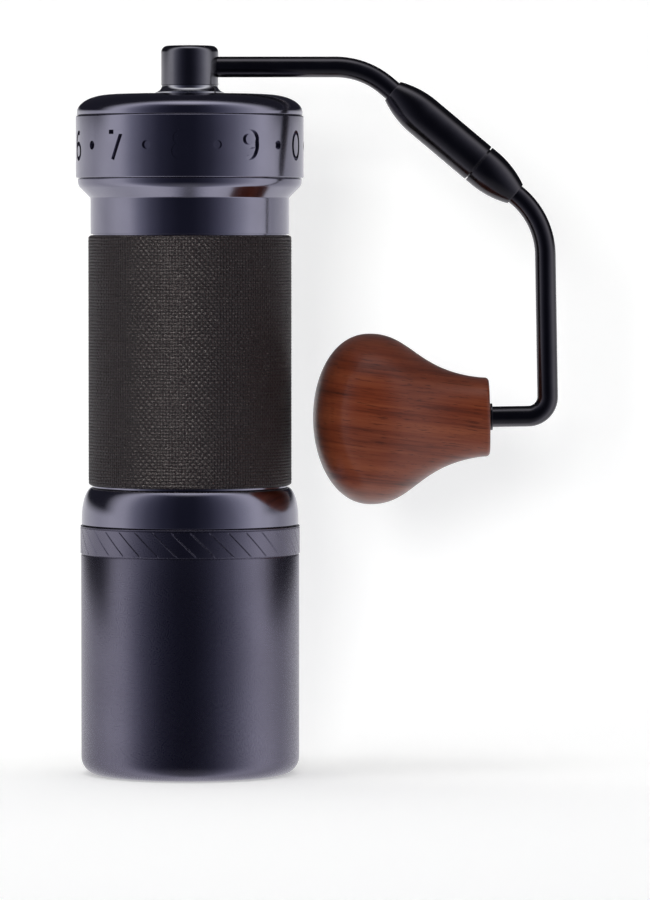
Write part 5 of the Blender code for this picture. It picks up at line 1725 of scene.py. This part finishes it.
@dataclass(frozen=True)
class Softbox:
    """A rectangular light: its centre, its size in metres, its tint and how bright it looks."""

    name: str
    place: Vec3
    size: tuple[float, float]
    radiance: float
    tint: str = "ffffff"
    shine: bool = True  # whether it shows in reflections
    only: str = ""  # the one piece that it lights, if any

    def hang(self, target: Vec3) -> None:
        """Puts the light up, facing a target. Its power is radiance times pi times its area."""
        lamp = bpy.data.lights.new(self.name, "AREA")
        lamp.shape = "RECTANGLE"
        lamp.size, lamp.size_y = self.size
        lamp.energy = self.radiance * math.pi * self.size[0] * self.size[1]
        lamp.color = linear(self.tint)[:3]
        holder = bpy.data.objects.new(self.name, lamp)
        bpy.context.scene.collection.objects.link(holder)
        aim(holder, self.place, target)
        holder.visible_camera = False
        holder.visible_glossy = self.shine
        if self.only:
            group = bpy.data.collections.new(f"{self.name}_reach")
            group.objects.link(bpy.data.objects[self.only])
            holder.light_linking.receiver_collection = group


def aim(thing: Any, place: Vec3, target: Vec3) -> None:
    """Puts a light or a camera at a place, looking at a target with +Z up.

    Args:
        thing: the light or camera.
        place: where it stands.
        target: what it looks at.
    """
    toward = np.array(target) - np.array(place)
    toward /= np.linalg.norm(toward)
    side = np.cross(toward, (0.0, 0.0, 1.0))
    side /= np.linalg.norm(side)
    matrix = np.eye(4)
    matrix[:3] = np.stack([side, np.cross(side, toward), -toward, place], axis=1)
    thing.matrix_world = Matrix(matrix.tolist())


@dataclass
class Studio:
    """Pale paper behind and below, and a room that is dark in front and bright at its sides."""

    wall_y: float = 0.19
    half_width: float = 1.6
    wall_height: float = 1.0
    floor_y: float = -1.3
    bend: float = 0.14

    def sweep(self) -> None:
        """The floor and backdrop: level, then a quarter circle, then upright."""
        angle = np.radians(np.linspace(0, 90, 25))
        curve = np.stack([self.wall_y - self.bend + self.bend * np.sin(angle),
                          self.bend - self.bend * np.cos(angle)], axis=1)
        line = np.concatenate([[(self.floor_y, 0.0)], curve, [(self.wall_y, self.wall_height)]])
        edges = (-self.half_width, self.half_width)
        points = np.stack([np.column_stack([np.full(len(line), x), line]) for x in edges], axis=1)
        index = np.arange(len(line) - 1)
        faces = np.stack([2 * index, 2 * index + 1, 2 * index + 3, 2 * index + 2], axis=1)
        mesh = bpy.data.meshes.new("paper_sweep")
        mesh.from_pydata(points.reshape(-1, 3), [], faces.tolist())
        mesh.shade_smooth()
        paper = bpy.data.objects.new("paper_sweep", mesh)
        bpy.context.scene.collection.objects.link(paper)
        material, tree, shader, _ = start_material(
            "pale_paper", Base_Color=linear("eaeae7"), Roughness=0.9, Specular_IOR_Level=0.0,
            Emission_Color=linear("ffffff"), Emission_Strength=0.35,
        )
        back = add_node(tree, "ShaderNodeNewGeometry", {}).outputs["Backfacing"]
        clear = add_node(tree, "ShaderNodeBsdfTransparent", {}).outputs[0]
        shown = add_node(
            tree, "ShaderNodeMixShader", {0: back, 1: shader.outputs[0], 2: clear}
        ).outputs[0]
        tree.links.new(shown, tree.nodes["Material Output"].inputs["Surface"])
        mesh.materials.append(material)
        paper.visible_glossy = False

    def room(self) -> None:
        """The room's brightness by direction, and white to the camera.

        Its first ramp runs round from behind, past the left side, the front and the right side
        to behind again. Its second runs from straight down to straight up. A dark patch stands
        behind, above the height of the eye.
        """
        world = bpy.data.worlds.new("studio_room")
        bpy.context.scene.world = world
        world.use_nodes = True
        tree = world.node_tree
        tree.nodes.clear()
        toward = add_node(tree, "ShaderNodeTexCoord", {}).outputs["Generated"]
        parts = add_node(tree, "ShaderNodeSeparateXYZ", {"Vector": toward}).outputs
        front = add_node(tree, "ShaderNodeMath", {0: parts["Y"], 1: -1.0}, operation="MULTIPLY")
        angle = add_node(
            tree, "ShaderNodeMath", {0: parts["X"], 1: front.outputs[0]}, operation="ARCTAN2"
        ).outputs[0]
        share = add_node(
            tree, "ShaderNodeMapRange", {0: angle, 1: -math.pi, 2: math.pi}
        ).outputs[0]
        walls = ramp(tree, share, [
            ((degrees + 180) / 360, tint) for degrees, tint in (
                (-180, "dcdcde"), (-140, "c8c8cb"), (-112, "b4b4ba"), (-92, "cacad0"),
                (-74, "c4c4cc"), (-60, "888996"), (-46, "5a5b69"), (-30, "353644"),
                (-12, "22232f"), (6, "22232f"), (22, "363744"), (34, "555664"), (46, "747582"),
                (60, "a0a1ac"), (76, "cacad2"), (94, "c8c8ce"), (112, "a8a8ae"),
                (140, "c8c8cb"), (180, "dcdcde"),
            )
        ])
        rise = add_node(tree, "ShaderNodeMapRange", {0: parts["Z"], 1: -1.0, 2: 1.0}).outputs[0]
        blend = ramp(tree, rise, [
            (0.0, "707070"), (0.15, "505050"), (0.3, "000000"), (0.92, "000000"),
            (0.965, "a8a8a8"), (1.0, "ffffff"),
        ])
        mixed = add_node(
            tree, "ShaderNodeMix", {0: blend, 6: walls, 7: linear("f4f4fa")}, data_type="RGBA"
        ).outputs[2]
        behind = add_node(
            tree, "ShaderNodeMapRange", {0: parts["Y"], 1: -0.1, 2: 0.25}
        ).outputs[0]
        lifted = add_node(
            tree, "ShaderNodeMapRange", {0: parts["Z"], 1: 0.03, 2: 0.14}
        ).outputs[0]
        shade = add_node(
            tree, "ShaderNodeMath", {0: behind, 1: lifted}, operation="MULTIPLY"
        ).outputs[0]
        mixed = add_node(
            tree, "ShaderNodeMix", {0: shade, 6: mixed, 7: linear("26262e")}, data_type="RGBA"
        ).outputs[2]
        eye = add_node(tree, "ShaderNodeLightPath", {}).outputs["Is Camera Ray"]
        seen = add_node(tree, "ShaderNodeBackground", {"Color": linear("ffffff")}).outputs[0]
        felt = add_node(
            tree, "ShaderNodeBackground", {"Color": mixed, "Strength": 1.2}
        ).outputs[0]
        mix = add_node(tree, "ShaderNodeMixShader", {0: eye, 1: felt, 2: seen}).outputs[0]
        add_node(tree, "ShaderNodeOutputWorld", {"Surface": mix})

    def build(self) -> None:
        """Sets up the paper, the room, the lights and the camera."""
        self.sweep()
        self.room()
        middle = (0.03, 0.0, 0.09)
        for box in (
            Softbox("key_light", (-0.17, -2.2, 0.32), (0.26, 0.26), 66.0, shine=False),
            Softbox("top_light", (-0.1, -0.35, 1.3), (0.9, 0.7), 1.6, shine=False),
            Softbox("left_softbox", (-0.9, -0.5, 0.4), (0.3, 0.9), 1.2, shine=False),
            Softbox("weave_light_right", (0.78, -0.5, 0.2), (0.26, 0.5), 11.0, "fff4ee",
                    only="grip_sleeve_rubber"),
            Softbox("weave_light_left", (-0.85, -0.2, 0.2), (0.26, 0.5), 9.0, "fff4ee",
                    only="grip_sleeve_rubber"),
        ):
            box.hang(middle)
        lens = bpy.data.cameras.new("studio_camera")
        lens.lens = 227.5
        lens.sensor_width = 36.0
        lens.clip_start, lens.clip_end = 0.05, 20.0
        holder = bpy.data.objects.new("studio_camera", lens)
        bpy.context.scene.collection.objects.link(holder)
        aim(holder, (0.03525, -1.485, 0.1418), (0.03525, 0.0, 0.0846))
        bpy.context.scene.camera = holder
        bpy.context.scene.view_settings.view_transform = "Standard"


def main() -> None:
    """Builds the grinder, sub-assembly by sub-assembly, then the studio."""
    logging.basicConfig(level=logging.INFO, format="%(name)s: %(message)s")
    kept = {thing.name for group in ("bodies", "nodes") for thing in frame[group].values()}
    for thing in list(bpy.data.objects):
        if thing.name not in kept:
            bpy.data.objects.remove(thing, do_unlink=True)
    bench = Bench(Finishes())
    crank = Crank(bench)
    for group in (
        CatchCup(bench), GrinderBody(bench), GrindDial(bench), DriveTrain(bench), Lid(bench), crank,
        Knob(bench, crank.knob_place()), Studio(),
    ):
        LOG.info("building %s", type(group).__name__)
        group.build()


if __name__ == "__main__":
    main()
